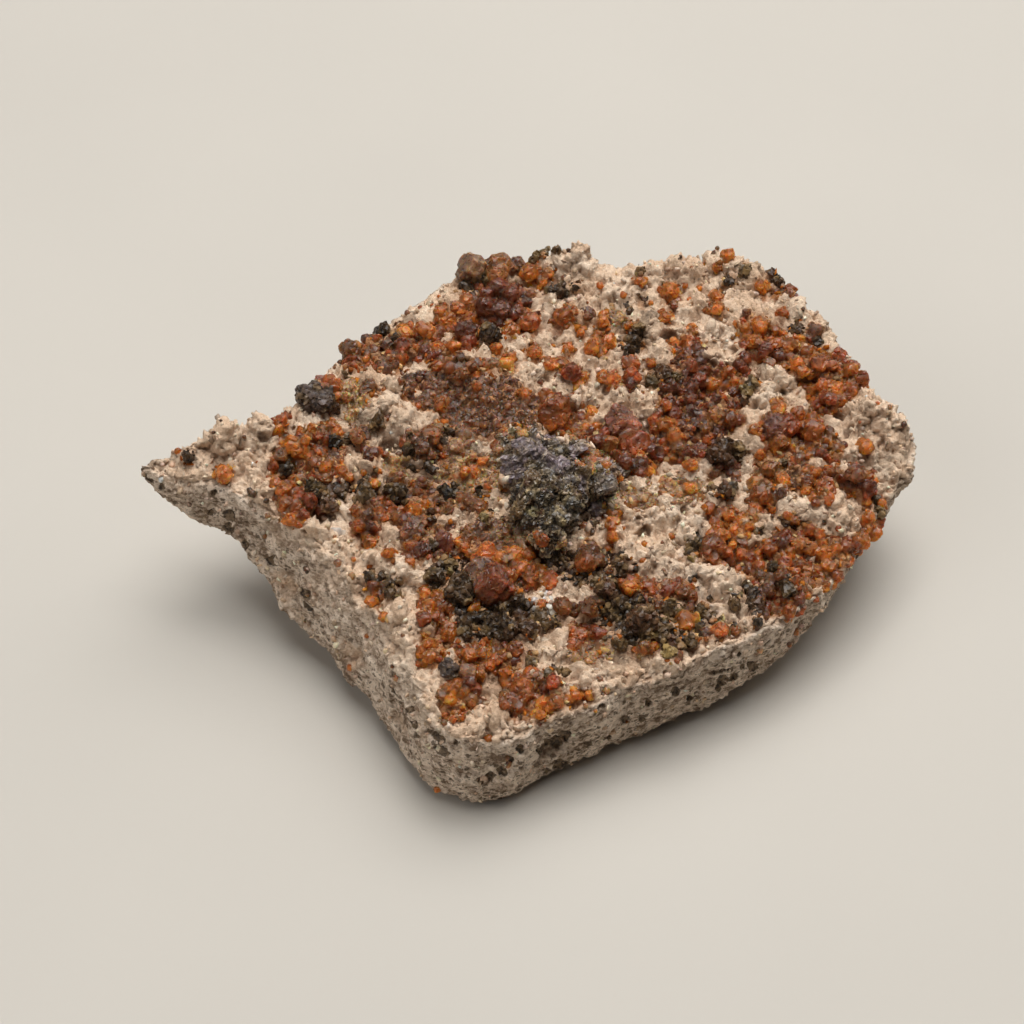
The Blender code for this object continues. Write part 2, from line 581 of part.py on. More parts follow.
def build_crust(name, seats, ground, workshop, collection):
    """A patch's crystals joined in one closed solid of few faces, fitted to the rock."""
    pieces = crust_crystals(name, seats, workshop)
    whole = pieces[0]
    boolean(whole, pieces[1:], "UNION")
    for voxel in CRUST_VOXELS:
        solid = thinned(name, whole.data, voxel, CRYSTAL_FACES * len(pieces), workshop)
        fit_to_rock(name, solid, ground, collection)
        if is_closed(solid.data):
            break
        bpy.data.objects.remove(solid)
    for piece in pieces:
        bpy.data.objects.remove(piece)
    return solid


def build_single(name, seats, ground, workshop, collection):
    """A crystal that stands alone."""
    u, v, radius, form, _ = SINGLES[name]
    draw = Random(f"{name}{SCATTER_SEED}")
    size = radius * MM
    middle = seats.middle(u, v, STAND[form] * size)
    seats.take(middle, size, name)
    piece = crystal(form, middle, size, turn_for(form, draw), workshop)
    return fit_to_rock(name, piece, ground, collection)


def crust_crystals(name, seats, workshop):
    """The crystals of one patch: its large ones, then those scattered inside its outline."""
    outline, form, (smallest, largest), spacing, _, large = CRUSTS[name]
    draw = Random(f"{name}{SCATTER_SEED}")
    pieces = []
    for u, v, radius in large:
        size = radius * MM
        middle = seats.middle(u, v, STAND[form] * size)
        seats.take(middle, size, name)
        pieces.append(crystal(form, middle, size, turn_for(form, draw), workshop))
    for u, v in scatter(outline, spacing, draw):
        size = draw.uniform(smallest, largest) * MM
        turn = turn_for(form, draw)
        middle = seats.middle(u, v, draw.uniform(*SCATTER_STAND) * size)
        if seats.free(middle, size, name):
            seats.take(middle, size, name)
            pieces.append(crystal(form, middle, size, turn, workshop))
    return pieces


def finish_of(name, colour, roughness_value):
    """A plain material of that colour."""
    material = bpy.data.materials.new(name)
    material.use_nodes = True
    shader = material.node_tree.nodes["Principled BSDF"]
    shader.inputs["Base Color"].default_value = (*colour, 1)
    shader.inputs["Roughness"].default_value = roughness_value
    shader.inputs["Metallic"].default_value = 0
    material.diffuse_color = (*colour, 1)
    return material


def clear_scene():
    """Removes every object that the scene starts with."""
    for item in list(bpy.data.objects):
        bpy.data.objects.remove(item)


def main():
    """Builds the slab, then the crystals on it, and places them all about the specimen's origin."""
    clear_scene()
    specimen = bpy.data.collections.new(SPECIMEN)
    workshop = bpy.data.collections.new("workshop")
    for made in (specimen, workshop):
        bpy.context.scene.collection.children.link(made)
    slab = build_slab(specimen)
    slab.data.materials.append(finish_of("matrix", ROCK_COLOUR, ROCK_ROUGHNESS))
    ground = ground_under_crystals(slab, workshop)
    seats = Seats(slab)
    for name, (*_, colour) in SINGLES.items():
        single = build_single(name, seats, ground, workshop, specimen)
        single.data.materials.clear()
        single.data.materials.append(finish_of(name, colour, CRYSTAL_ROUGHNESS))
    for name in CRUSTS:
        crust = build_crust(name, seats, ground, workshop, specimen)
        crust.data.materials.clear()
        crust.data.materials.append(finish_of(name, CRUSTS[name][4], CRUST_ROUGHNESS))
    bpy.data.objects.remove(ground)
    bpy.data.collections.remove(workshop)
    middle = bpy.data.objects.new(SPECIMEN, None)
    middle.location = Vector((-ORIGIN[0], -ORIGIN[1], 0)) * MM
    specimen.objects.link(middle)
    for item in specimen.objects:
        if item is not middle:
            item.parent = middle
    bpy.context.view_layer.update()


main()
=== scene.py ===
"""Garnet in matrix: the finished look of a pale granular slab with its crust of garnets and dark crystals.

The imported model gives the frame. The rock is made again from its solid with a fine crumbly relief, and the
crystals are made again as faceted ones, many more and finer than the solids they stand for. Lengths are in
millimetres until a mesh is made, which is in metres.
"""
import itertools
import logging
import math
from collections.abc import Sequence
from dataclasses import dataclass, field
from enum import Enum
from typing import ClassVar, TypeVar

import bmesh
import bpy
import numpy as np
from mathutils import Euler, Matrix, Vector
from mathutils.bvhtree import BVHTree
from mathutils.kdtree import KDTree


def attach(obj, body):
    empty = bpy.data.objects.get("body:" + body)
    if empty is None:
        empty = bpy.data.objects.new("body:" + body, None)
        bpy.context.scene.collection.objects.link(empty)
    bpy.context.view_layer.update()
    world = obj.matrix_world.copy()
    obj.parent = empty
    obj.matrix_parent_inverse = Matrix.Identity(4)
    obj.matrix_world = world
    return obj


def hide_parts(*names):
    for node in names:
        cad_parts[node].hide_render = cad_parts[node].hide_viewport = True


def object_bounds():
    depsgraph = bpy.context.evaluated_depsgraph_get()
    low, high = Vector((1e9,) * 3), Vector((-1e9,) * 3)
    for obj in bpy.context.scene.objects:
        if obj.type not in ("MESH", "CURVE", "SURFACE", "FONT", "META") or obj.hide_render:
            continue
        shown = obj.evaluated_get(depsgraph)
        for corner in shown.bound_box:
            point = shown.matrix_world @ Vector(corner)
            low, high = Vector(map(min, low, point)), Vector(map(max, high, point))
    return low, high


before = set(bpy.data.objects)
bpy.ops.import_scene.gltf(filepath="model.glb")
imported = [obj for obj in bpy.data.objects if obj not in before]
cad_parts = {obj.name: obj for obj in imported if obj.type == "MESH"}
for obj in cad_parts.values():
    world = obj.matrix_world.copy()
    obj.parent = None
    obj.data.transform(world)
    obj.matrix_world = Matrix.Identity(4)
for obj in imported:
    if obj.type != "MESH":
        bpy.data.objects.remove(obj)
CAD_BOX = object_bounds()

MM = 0.001
BODY = "root"
SHAPES_SEED = 3
LOG = logging.getLogger("garnet_in_matrix")
DARKEST, BRIGHTEST = 0.004, 0.95
BOX_MARGIN = 0.02 * MM
BOX_LIMITS = (np.array(CAD_BOX[0]) + BOX_MARGIN, np.array(CAD_BOX[1]) - BOX_MARGIN)

# Names for the types. A colour is in linear light, a spot is a column, a row and a radius in pixels, and a
# span is a low and a high value and the two values that they become.
Array = np.ndarray
Material = bpy.types.Material
Mesh = bpy.types.Mesh
Socket = bpy.types.NodeSocket
Pair = tuple[float, float]
Pixel = Pair
Triple = tuple[float, float, float]
Colour = Triple
Spot = Triple
Span = tuple[float, float, float, float]
Option = TypeVar("Option")


@dataclass(frozen=True)
class SightLines:
    """The view's lines of sight, by which a pixel of the 1024-pixel frame finds its place on the rock."""

    focal: float = 2660.0
    middle: float = 512.0
    pitch: float = math.radians(45.0)
    distance: float = 325.55
    target: tuple[float, float, float] = (-2.3, 11.3, 0.0)

    @property
    def eye(self) -> Vector:
        """The place that the view is seen from, in millimetres."""
        back = Vector((0.0, -math.cos(self.pitch), math.sin(self.pitch)))
        return Vector(self.target) + back * self.distance

    def way(self, u: float, v: float) -> Vector:
        """The direction from the eye through a pixel.

        Args:
            u: the pixel's column.
            v: its row.

        Returns:
            The direction, one unit long.
        """
        right, down = (u - self.middle) / self.focal, (v - self.middle) / self.focal
        sine, cosine = math.sin(self.pitch), math.cos(self.pitch)
        return Vector((right, cosine - down * sine, -sine - down * cosine)).normalized()

    def pixels_per_mm(self) -> float:
        """Pixels for each millimetre across the view, near the specimen."""
        return self.focal / self.distance


VIEW = SightLines()


class Noise:
    """Seeded noise, read at many places at once."""

    SIZE: ClassVar[int] = 256
    CELL_SPOTS: ClassVar[Pair] = (0.1, 0.9)
    FAR: ClassVar[float] = 9.0
    LAYER_SHIFT: ClassVar[float] = 17.3
    LAYER_STEP: ClassVar[float] = 2.03
    BEND_SHIFTS: ClassVar[Triple] = (0.0, 31.0, 67.0)

    def __init__(self, seed: int) -> None:
        """Draws the tables that the noise is read from.

        Args:
            seed: where the random draws start.
        """
        draw = np.random.default_rng(seed)
        order = draw.permutation(self.SIZE)
        self.order = np.concatenate([order, order])
        slopes = draw.normal(size=(self.SIZE, 3))
        self.slopes = slopes / np.linalg.norm(slopes, axis=1, keepdims=True)
        self.spots = draw.uniform(*self.CELL_SPOTS, size=(self.SIZE, 3))
        self.values = draw.uniform(0.0, 1.0, size=self.SIZE)

    def _entry(self, cell: Array) -> Array:
        """The table entry of each whole-numbered cell."""
        x, y, z = (cell & (self.SIZE - 1)).T
        return self.order[self.order[self.order[x] + y] + z]

    def smooth(self, places: Array, spacing: float) -> Array:
        """Gradient noise.

        Args:
            places: points, one a row, in millimetres.
            spacing: the distance from one swell to the next.

        Returns:
            One value for each point, about -0.7 to 0.7.
        """
        scaled = places / spacing
        cell = np.floor(scaled).astype(np.int64)
        part = scaled - cell
        fade = part * part * part * (part * (part * 6 - 15) + 10)
        total = np.zeros(len(places))
        for corner in np.ndindex(2, 2, 2):
            offset = np.array(corner)
            slope = self.slopes[self._entry(cell + offset)]
            rise = np.einsum("ij,ij->i", slope, part - offset)
            total += rise * np.prod(np.where(offset == 1, fade, 1 - fade), axis=1)
        return total

    def layered(self, places: Array, spacing: float, layers: int = 4, keep: float = 0.5) -> Array:
        """Gradient noise in finer and finer layers.

        Args:
            places: points, one a row, in millimetres.
            spacing: the coarsest layer's spacing.
            layers: how many layers.
            keep: how strong each layer is beside the one before.

        Returns:
            One value for each point.
        """
        total = np.zeros(len(places))
        strength = 1.0
        for layer in range(layers):
            shift = self.LAYER_SHIFT * layer
            total += strength * self.smooth(places + shift, spacing / self.LAYER_STEP ** layer)
            strength *= keep
        return total

    def bends(self, places: Array, spacing: float) -> Array:
        """Layered noise along each of the three axes, to bend places by."""
        return np.stack([self.layered(places + shift, spacing, 3) for shift in self.BEND_SHIFTS], axis=1)

    def ridges(self, places: Array, spacing: float) -> Array:
        """Layered noise that is 1 along thin ridges, and less between them."""
        return 1 - 2 * np.abs(self.layered(places, spacing, 3, 0.6))

    def cells(self, places: Array, spacing: float) -> tuple[Array, Array, Array]:
        """Scattered cells.

        Args:
            places: points, one a row, in millimetres.
            spacing: the mean distance from one cell's middle to the next.

        Returns:
            The distance to the nearest middle and to the next one, in cell sizes, and the nearest cell's
            own value from 0 to 1.
        """
        scaled = places / spacing
        cell = np.floor(scaled).astype(np.int64)
        nearest = np.full(len(places), self.FAR)
        second = np.full(len(places), self.FAR)
        value = np.zeros(len(places))
        for corner in np.ndindex(3, 3, 3):
            here = cell + (np.array(corner) - 1)
            entry = self._entry(here)
            distance = np.linalg.norm(here + self.spots[entry] - scaled, axis=1)
            closer = distance < nearest
            second = np.where(closer, nearest, np.minimum(second, distance))
            nearest = np.where(closer, distance, nearest)
            value = np.where(closer, self.values[entry], value)
        return nearest, second, value

    def domes(self, places: Array, spacing: float, least: float,
              most: float) -> tuple[Array, Array]:
        """Round lumps of many sizes that grow into one another.

        Args:
            places: points, one a row, in millimetres.
            spacing: the mean distance from one lump's middle to the next.
            least: the smallest lump's radius, in spacings.
            most: the largest lump's radius, in spacings.

        Returns:
            How high the lumps stand at each point, in millimetres, and the value of the highest one.
        """
        scaled = places / spacing
        cell = np.floor(scaled).astype(np.int64)
        height = np.zeros(len(places))
        value = np.full(len(places), 0.5)
        for corner in np.ndindex(3, 3, 3):
            here = cell + (np.array(corner) - 1)
            entry = self._entry(here)
            gap = ((here + self.spots[entry] - scaled) ** 2).sum(axis=1)
            reach = least + (most - least) * self.values[entry] ** 2
            rise = np.sqrt(np.clip(reach * reach - gap, 0, None))
            higher = rise > height
            height = np.where(higher, rise, height)
            value = np.where(higher, self.values[(entry * 7) % self.SIZE], value)
        return height * spacing, value


def ease(low: float, high: float, value: Array) -> Array:
    """0 at or under low, 1 at or over high, and a smooth step between."""
    share = np.clip((value - low) / (high - low), 0, 1)
    return share * share * (3 - 2 * share)


class NodeKit:
    """A material's node tree, with short ways to add what the finishes use.

    Grains are bent by noise of a share of their spacing, by another share of it. Each has a soft rim between
    two distances from its middle.
    """

    GRAIN_BEND_SPACING: ClassVar[float] = 0.7
    GRAIN_BEND: ClassVar[float] = 0.9
    GRAIN_EDGE: ClassVar[float] = 0.02
    GRAIN_RIM: ClassVar[Pair] = (0.34, 0.5)

    def __init__(self, name: str) -> None:
        """Starts a material with its shader.

        Args:
            name: the material's name.
        """
        self.material = bpy.data.materials.new(name)
        self.material.use_nodes = True
        self.tree = self.material.node_tree
        self.tree.nodes.clear()
        output = self.add("ShaderNodeOutputMaterial")
        self.shader = self.add("ShaderNodeBsdfPrincipled")
        self.join(self.shader.outputs[0], output.inputs["Surface"])

    def add(self, kind: str, **settings: object) -> bpy.types.Node:
        """Adds a node.

        Args:
            kind: its type.
            settings: its properties.

        Returns:
            The node.
        """
        node = self.tree.nodes.new(kind)
        for key, value in settings.items():
            setattr(node, key, value)
        return node

    def join(self, output: Socket, socket: Socket) -> None:
        """Links two sockets."""
        self.tree.links.new(output, socket)

    def set(self, **values: object) -> None:
        """Sets constants on the shader's own sockets, with _ for each space of their names."""
        for key, value in values.items():
            self.shader.inputs[key.replace("_", " ")].default_value = value

    def coordinates(self) -> Socket:
        """The surface's own places, in metres."""
        return self.add("ShaderNodeTexCoord").outputs["Object"]

    def attribute(self, name: str) -> bpy.types.Node:
        """Reads a value or colour that the mesh holds."""
        return self.add("ShaderNodeAttribute", attribute_name=name)

    def noise(self, spacing: float, detail: float = 3.0, rough: float = 0.55,
              stretch: Triple | None = None) -> Socket:
        """Adds noise.

        Args:
            spacing: how far apart its swells are, in millimetres.
            detail: how many finer layers it has.
            rough: how strong they are.
            stretch: how much closer the swells are along each axis, or None.

        Returns:
            A value from 0 to 1.
        """
        node = self.add("ShaderNodeTexNoise")
        node.inputs["Scale"].default_value = 1 / (spacing * MM)
        node.inputs["Detail"].default_value = detail
        node.inputs["Roughness"].default_value = rough
        places = self.coordinates()
        self.join(self._stretched(places, stretch) if stretch else places, node.inputs["Vector"])
        return node.outputs["Fac"]

    def _stretched(self, places: Socket, stretch: Triple) -> Socket:
        """Places, each of whose parts is times its part of stretch.

        Args:
            places: the places.
            stretch: how closely they are drawn together along each axis.

        Returns:
            The new places.
        """
        node = self.add("ShaderNodeVectorMath", operation="MULTIPLY")
        node.inputs[1].default_value = stretch
        self.join(places, node.inputs[0])
        return node.outputs[0]

    def specks(self, spacing: float, share: float, stretch: Triple) -> Socket:
        """Scattered grains.

        Args:
            spacing: the mean distance from one cell to the next, in millimetres.
            share: the share of the cells that hold a grain.
            stretch: how closely the cells stand along each axis.

        Returns:
            1 in a grain and 0 outside it.
        """
        warp = self.add("ShaderNodeTexNoise")
        warp.inputs["Scale"].default_value = 1 / (spacing * self.GRAIN_BEND_SPACING * MM)
        warp.inputs["Detail"].default_value = 2.0
        self.join(self.coordinates(), warp.inputs["Vector"])
        bent = self.add("ShaderNodeVectorMath", operation="MULTIPLY_ADD")
        bent.inputs[1].default_value = (spacing * self.GRAIN_BEND * MM,) * 3
        self.join(warp.outputs["Color"], bent.inputs[0])
        self.join(self.coordinates(), bent.inputs[2])
        cells = self.add("ShaderNodeTexVoronoi")
        cells.inputs["Scale"].default_value = 1 / (spacing * MM)
        self.join(self._stretched(bent.outputs[0], stretch), cells.inputs["Vector"])
        split = self.add("ShaderNodeSeparateColor")
        self.join(cells.outputs["Color"], split.inputs[0])
        held = self.span(split.outputs[0], 1 - share - self.GRAIN_EDGE, 1 - share + self.GRAIN_EDGE)
        body = self.span(cells.outputs["Distance"], *self.GRAIN_RIM, 1.0, 0.0)
        return self.maths("MULTIPLY", held, body)

    def ramp(self, source: Socket, stops: Sequence[tuple[float, Colour]]) -> Socket:
        """Turns a value into a colour.

        Args:
            source: the value.
            stops: the places of the colours, and the colours.

        Returns:
            The colour.
        """
        node = self.add("ShaderNodeValToRGB")
        band = node.color_ramp.elements
        while len(band) < len(stops):
            band.new(0.5)
        for element, (place, colour) in zip(band, stops):
            element.position = place
            element.color = (*colour, 1)
        self.join(source, node.inputs["Fac"])
        return node.outputs["Color"]

    def span(self, source: Socket, low: float, high: float,
             start: float = 0.0, end: float = 1.0) -> Socket:
        """Maps low to high onto start to end, and holds it at the ends.

        Args:
            source: the value.
            low: the value that becomes start.
            high: the value that becomes end.
            start: the first result.
            end: the last result.

        Returns:
            The mapped value.
        """
        node = self.add("ShaderNodeMapRange", clamp=True)
        for key, value in (("From Min", low), ("From Max", high), ("To Min", start), ("To Max", end)):
            node.inputs[key].default_value = value
        self.join(source, node.inputs["Value"])
        return node.outputs["Result"]

    def mix(self, factor: Socket | float, first: Socket | Colour,
            second: Socket | Colour, way: str = "MIX") -> Socket:
        """Mixes two colours.

        Args:
            factor: how much of the second shows.
            first: the first colour.
            second: the second colour.
            way: how they are mixed.

        Returns:
            The mixed colour.
        """
        node = self.add("ShaderNodeMix", data_type="RGBA", blend_type=way)
        sockets = (node.inputs[0], node.inputs[6], node.inputs[7])
        for socket, value in zip(sockets, (factor, first, second)):
            self._feed(socket, value)
        return node.outputs[2]

    def maths(self, way: str, first: Socket | float,
              second: Socket | float) -> Socket:
        """Works out one sum.

        Args:
            way: which sum.
            first: the first value.
            second: the second value.

        Returns:
            The result.
        """
        node = self.add("ShaderNodeMath", operation=way)
        for socket, value in zip(node.inputs, (first, second)):
            self._feed(socket, value)
        return node.outputs[0]

    def total(self, *parts: tuple[Socket, Span]) -> Socket:
        """Adds up values.

        Args:
            parts: the values, each with the span that it is mapped by.

        Returns:
            Their sum.
        """
        first, *others = (self.span(source, *span) for source, span in parts)
        for other in others:
            first = self.maths("ADD", first, other)
        return first

    def _feed(self, socket: Socket, value: Socket | Colour | float) -> None:
        """Links a socket to another, or gives it a colour or a number.

        Args:
            socket: the socket.
            value: what it is given.
        """
        if isinstance(value, Socket):
            self.join(value, socket)
        else:
            socket.default_value = (*value, 1) if isinstance(value, tuple) else value

    def bump(self, height: Socket, strength: float, depth: float) -> None:
        """Gives the shader a bump.

        Args:
            height: how high each place stands, from 0 to 1.
            strength: how much of it shows.
            depth: how deep it is, in millimetres.
        """
        node = self.add("ShaderNodeBump")
        node.inputs["Strength"].default_value = strength
        node.inputs["Distance"].default_value = depth * MM
        self.join(height, node.inputs["Height"])
        self.join(node.outputs["Normal"], self.shader.inputs["Normal"])


@dataclass(frozen=True)
class RockFinish:
    """Pale granular rock: crumbly cream above, greyer and specked on its broken sides, stained by garnet.

    It is painted darker as shade where it lies sunk and in its pits, and its dark specks are partly painted
    shade. A noise is its spacing in millimetres, its detail and its roughness. A span is a low and a high
    value and the two values that they become. Stops are the places of three colours. Grains are their spacing
    in millimetres, the share of the places that hold one and how strongly they show.
    """

    cream: Colour = (0.77, 0.545, 0.37)
    pale: Colour = (0.93, 0.745, 0.565)
    pinkish: Colour = (0.53, 0.35, 0.225)
    # Painted shade: the colour that is laid where the rock lies sunk, in its hollows and pits.
    hollow_shade: Colour = (0.22, 0.105, 0.055)
    side_grey: Colour = (0.56, 0.425, 0.315)
    side_pale: Colour = (0.90, 0.735, 0.58)
    side_tan: Colour = (0.22, 0.145, 0.095)
    speck: Colour = (0.10, 0.066, 0.04)
    tan_speck: Colour = (0.26, 0.17, 0.095)
    rust: Colour = (0.27, 0.09, 0.03)
    amber: Colour = (0.50, 0.205, 0.065)
    ochre: Colour = (0.64, 0.385, 0.20)
    # The dark specks' colour: dark grains, and painted shade in pits and along the rims.
    black: Colour = (0.035, 0.026, 0.02)
    flat: Triple = (0.9, 0.9, 1.7)
    bedding: Triple = (0.5, 0.5, 1.6)
    patch_noise: Triple = (5.0, 4.0, 0.62)
    grain_noise: Triple = (0.55, 4.0, 0.7)
    dust_noise: Triple = (0.25, 3.0, 0.7)
    cloud_noise: Triple = (1.7, 3.0, 0.6)
    bedding_noise: Triple = (1.2, 4.0, 0.7)
    top_patches: Span = (0.25, 0.75, 0.0, 0.5)
    top_lumps: Span = (0.0, 1.0, 0.0, 0.3)
    top_grain: Span = (0.3, 0.7, -0.12, 0.28)
    top_stops: Triple = (0.12, 0.4, 0.8)
    dust_span: Span = (0.34, 0.48, 0.6, 0.0)
    dust_share: float = 0.7
    rust_span: Span = (0.25, 0.8, 0.0, 1.0)
    ochre_span: Span = (0.50, 0.62, 0.0, 0.65)
    stain_span: Span = (0.12, 0.9, 0.0, 0.92)
    hollow_span: Span = (0.62, 1.06, 0.0, 1.0)
    hollow_by_side: Span = (0.0, 1.0, 0.75, 0.5)
    grime_and_shade_tone: Span = (0.42, 0.6, 0.0, 1.0)
    grime_and_shade_span: Span = (0.42, 0.58, 0.0, 0.9)
    roughness: Span = (0.3, 1.0, 0.9, 0.5)
    gloss: float = 0.25
    dust_height: float = 0.5
    bump_strength: float = 1.0
    bump_depth: float = 0.36
    side_crumbs: Span = (0.0, 1.0, 0.0, 0.4)
    side_grain: Span = (0.3, 0.7, 0.0, 0.45)
    side_patches: Span = (0.3, 0.7, -0.16, 0.15)
    side_clouds: Span = (0.35, 0.65, -0.2, 0.18)
    side_beds: Span = (0.36, 0.62, -0.34, 0.26)
    side_stops: Triple = (0.04, 0.27, 0.66)
    tan_grains: Triple = (0.62, 0.30, 0.55)
    coarse_grains: Triple = (0.85, 0.24, 0.85)
    fine_grains: Triple = (0.42, 0.22, 0.7)

    def material(self) -> Material:
        """Makes the rock's material, which reads the marks and tones that its mesh holds.

        Returns:
            The material.
        """
        kit = NodeKit("pale_rock")
        dark_marks_and_shade, hollow_shade, stain = self._channels(kit, "rock_marks")
        lump, crumb, side = self._channels(kit, "rock_tones")
        patches = kit.noise(*self.patch_noise)
        grain = kit.noise(*self.grain_noise)
        dust = kit.noise(*self.dust_noise)
        tone = kit.total((patches, self.top_patches), (lump, self.top_lumps), (grain, self.top_grain))
        top = kit.ramp(tone, list(zip(self.top_stops, (self.pinkish, self.cream, self.pale))))
        body = kit.mix(side, top, self._flank(kit, crumb, grain, patches))
        body = kit.mix(kit.span(dust, *self.dust_span), body, kit.mix(self.dust_share, body, self.pinkish))
        rusty = kit.mix(kit.span(crumb, *self.rust_span), self.rust, self.amber)
        rusty = kit.mix(kit.span(grain, *self.ochre_span), rusty, self.ochre)
        body = kit.mix(kit.span(stain, *self.stain_span), body, rusty)
        # Painted shade: darker where the rock lies sunk among its neighbours and in its pits, less on the
        # broken sides.
        sunk, open_to_light = kit.span(hollow_shade, *self.hollow_span), kit.span(side, *self.hollow_by_side)
        body = kit.mix(kit.maths("MULTIPLY", sunk, open_to_light), body, self.hollow_shade)
        # Dark specks: dark grains of the broken sides and of the bare rock, and painted shade in pits and
        # along the rims.
        grime_and_shade = kit.mix(kit.span(grain, *self.grime_and_shade_tone), self.black, self.tan_speck)
        body = kit.mix(kit.span(dark_marks_and_shade, *self.grime_and_shade_span), body, grime_and_shade)
        kit.join(body, kit.shader.inputs["Base Color"])
        kit.join(kit.span(stain, *self.roughness), kit.shader.inputs["Roughness"])
        kit.set(Specular_IOR_Level=self.gloss)
        fine = kit.maths("ADD", grain, kit.maths("MULTIPLY", dust, self.dust_height))
        kit.bump(fine, self.bump_strength, self.bump_depth)
        return kit.material

    def _flank(self, kit: NodeKit, crumb: Socket, grain: Socket, patches: Socket) -> Socket:
        """The broken sides' colour: grey and cream grains with dark ones that lie flat.

        Args:
            kit: the material's nodes.
            crumb: the tone of the crumb at each place.
            grain: the fine noise.
            patches: the coarse noise.

        Returns:
            The colour.
        """
        clouds, beds = kit.noise(*self.cloud_noise), kit.noise(*self.bedding_noise, self.bedding)
        tone = kit.total((crumb, self.side_crumbs), (grain, self.side_grain), (patches, self.side_patches),
                         (clouds, self.side_clouds), (beds, self.side_beds))
        body = kit.ramp(tone, list(zip(self.side_stops, (self.side_tan, self.side_grey, self.side_pale))))
        for colour, (spacing, share, strength) in (
            (self.tan_speck, self.tan_grains),
            (self.speck, self.coarse_grains),
            (self.speck, self.fine_grains),
        ):
            grains = kit.specks(spacing, share, self.flat)
            body = kit.mix(kit.maths("MULTIPLY", grains, strength), body, colour)
        return body

    def _channels(self, kit: NodeKit, name: str) -> list[Socket]:
        """Reads the three values that the mesh holds under a name.

        Args:
            kit: the material's nodes.
            name: the name.

        Returns:
            The three values.
        """
        split = kit.add("ShaderNodeSeparateColor")
        kit.join(kit.attribute(name).outputs["Color"], split.inputs[0])
        return list(split.outputs)


@dataclass(frozen=True)
class CrystalFinish:
    """A crystal's lustre. Its colour comes from the tint that each crystal's points hold.

    Mottle is how much darker its clouds are. Dust, if it has any, lies along threads and in patches. A noise
    is its spacing in millimetres, its detail and its roughness.
    """

    name: str
    roughness: float
    clearness: float
    index: float
    mottle: float
    bump: float
    gloss: float = 0.5
    glow: float = 0.0
    dust: Colour | None = None
    dusting: float = 0.75
    cloud_noise: Triple = (0.8, 3.0, 0.6)
    cloud_range: Pair = (0.38, 0.62)
    thread_noise: Triple = (0.7, 4.0, 0.65)
    thread_width: float = 0.04
    thread_share: float = 0.8
    patch_noise: Triple = (0.45, 4.0, 0.7)
    patch_range: Pair = (0.54, 0.66)
    worn_noise: Triple = (0.5, 2.0, 0.6)
    worn_range: Pair = (0.35, 0.7)
    worn_spread: Pair = (0.6, 1.6)
    glow_radius: Triple = (1.0, 0.32, 0.08)
    glow_depth: float = 1.2
    bump_noise: Triple = (0.25, 3.0, 0.55)
    bump_depth: float = 0.07

    def material(self) -> Material:
        """Makes the material of crystals with this lustre.

        Returns:
            The material.
        """
        kit = NodeKit(self.name)
        tint = kit.attribute("tint").outputs["Color"]
        clouds = kit.span(kit.noise(*self.cloud_noise), *self.cloud_range)
        body = kit.mix(clouds, kit.mix(1.0, tint, (1 - self.mottle,) * 3, "MULTIPLY"), tint)
        if self.dust:
            thread = kit.maths("ABSOLUTE", kit.maths("SUBTRACT", kit.noise(*self.thread_noise), 0.5), 0.0)
            held = kit.span(thread, 0.0, self.thread_width, self.thread_share * self.dusting, 0.0)
            body = kit.mix(held, body, self.dust)
            held = kit.span(kit.noise(*self.patch_noise), *self.patch_range, 0.0, self.dusting)
            body = kit.mix(held, body, self.dust)
        kit.join(body, kit.shader.inputs["Base Color"])
        smooth, worn = (self.roughness * part for part in self.worn_spread)
        kit.join(kit.span(kit.noise(*self.worn_noise), *self.worn_range, smooth, worn),
                 kit.shader.inputs["Roughness"])
        kit.set(IOR=self.index, Transmission_Weight=self.clearness, Specular_IOR_Level=self.gloss)
        if self.glow:
            kit.set(Subsurface_Weight=self.glow, Subsurface_Radius=self.glow_radius,
                    Subsurface_Scale=self.glow_depth * MM)
        kit.bump(kit.noise(*self.bump_noise), self.bump, self.bump_depth)
        return kit.material


GARNET = CrystalFinish("garnet", roughness=0.38, clearness=0.3, index=1.6, mottle=0.3, bump=0.5, gloss=0.25,
                       glow=0.8, dust=(0.44, 0.23, 0.10), dusting=0.3)
DARK = CrystalFinish("dark_mineral", roughness=0.30, clearness=0.0, index=1.5, mottle=0.45, bump=0.5,
                     dust=(0.42, 0.31, 0.18), dusting=0.35)
OLIVE = CrystalFinish("olive_mineral", roughness=0.32, clearness=0.0, index=1.5, mottle=0.5, bump=0.6,
                      gloss=0.3, dust=(0.38, 0.24, 0.10), dusting=0.18)
SILVER = CrystalFinish("mica", roughness=0.22, clearness=0.0, index=1.5, mottle=0.25, bump=0.4, gloss=0.6)
PALE = CrystalFinish("pale_grain", roughness=0.85, clearness=0.0, index=1.5, mottle=0.35, bump=1.0,
                     gloss=0.25)


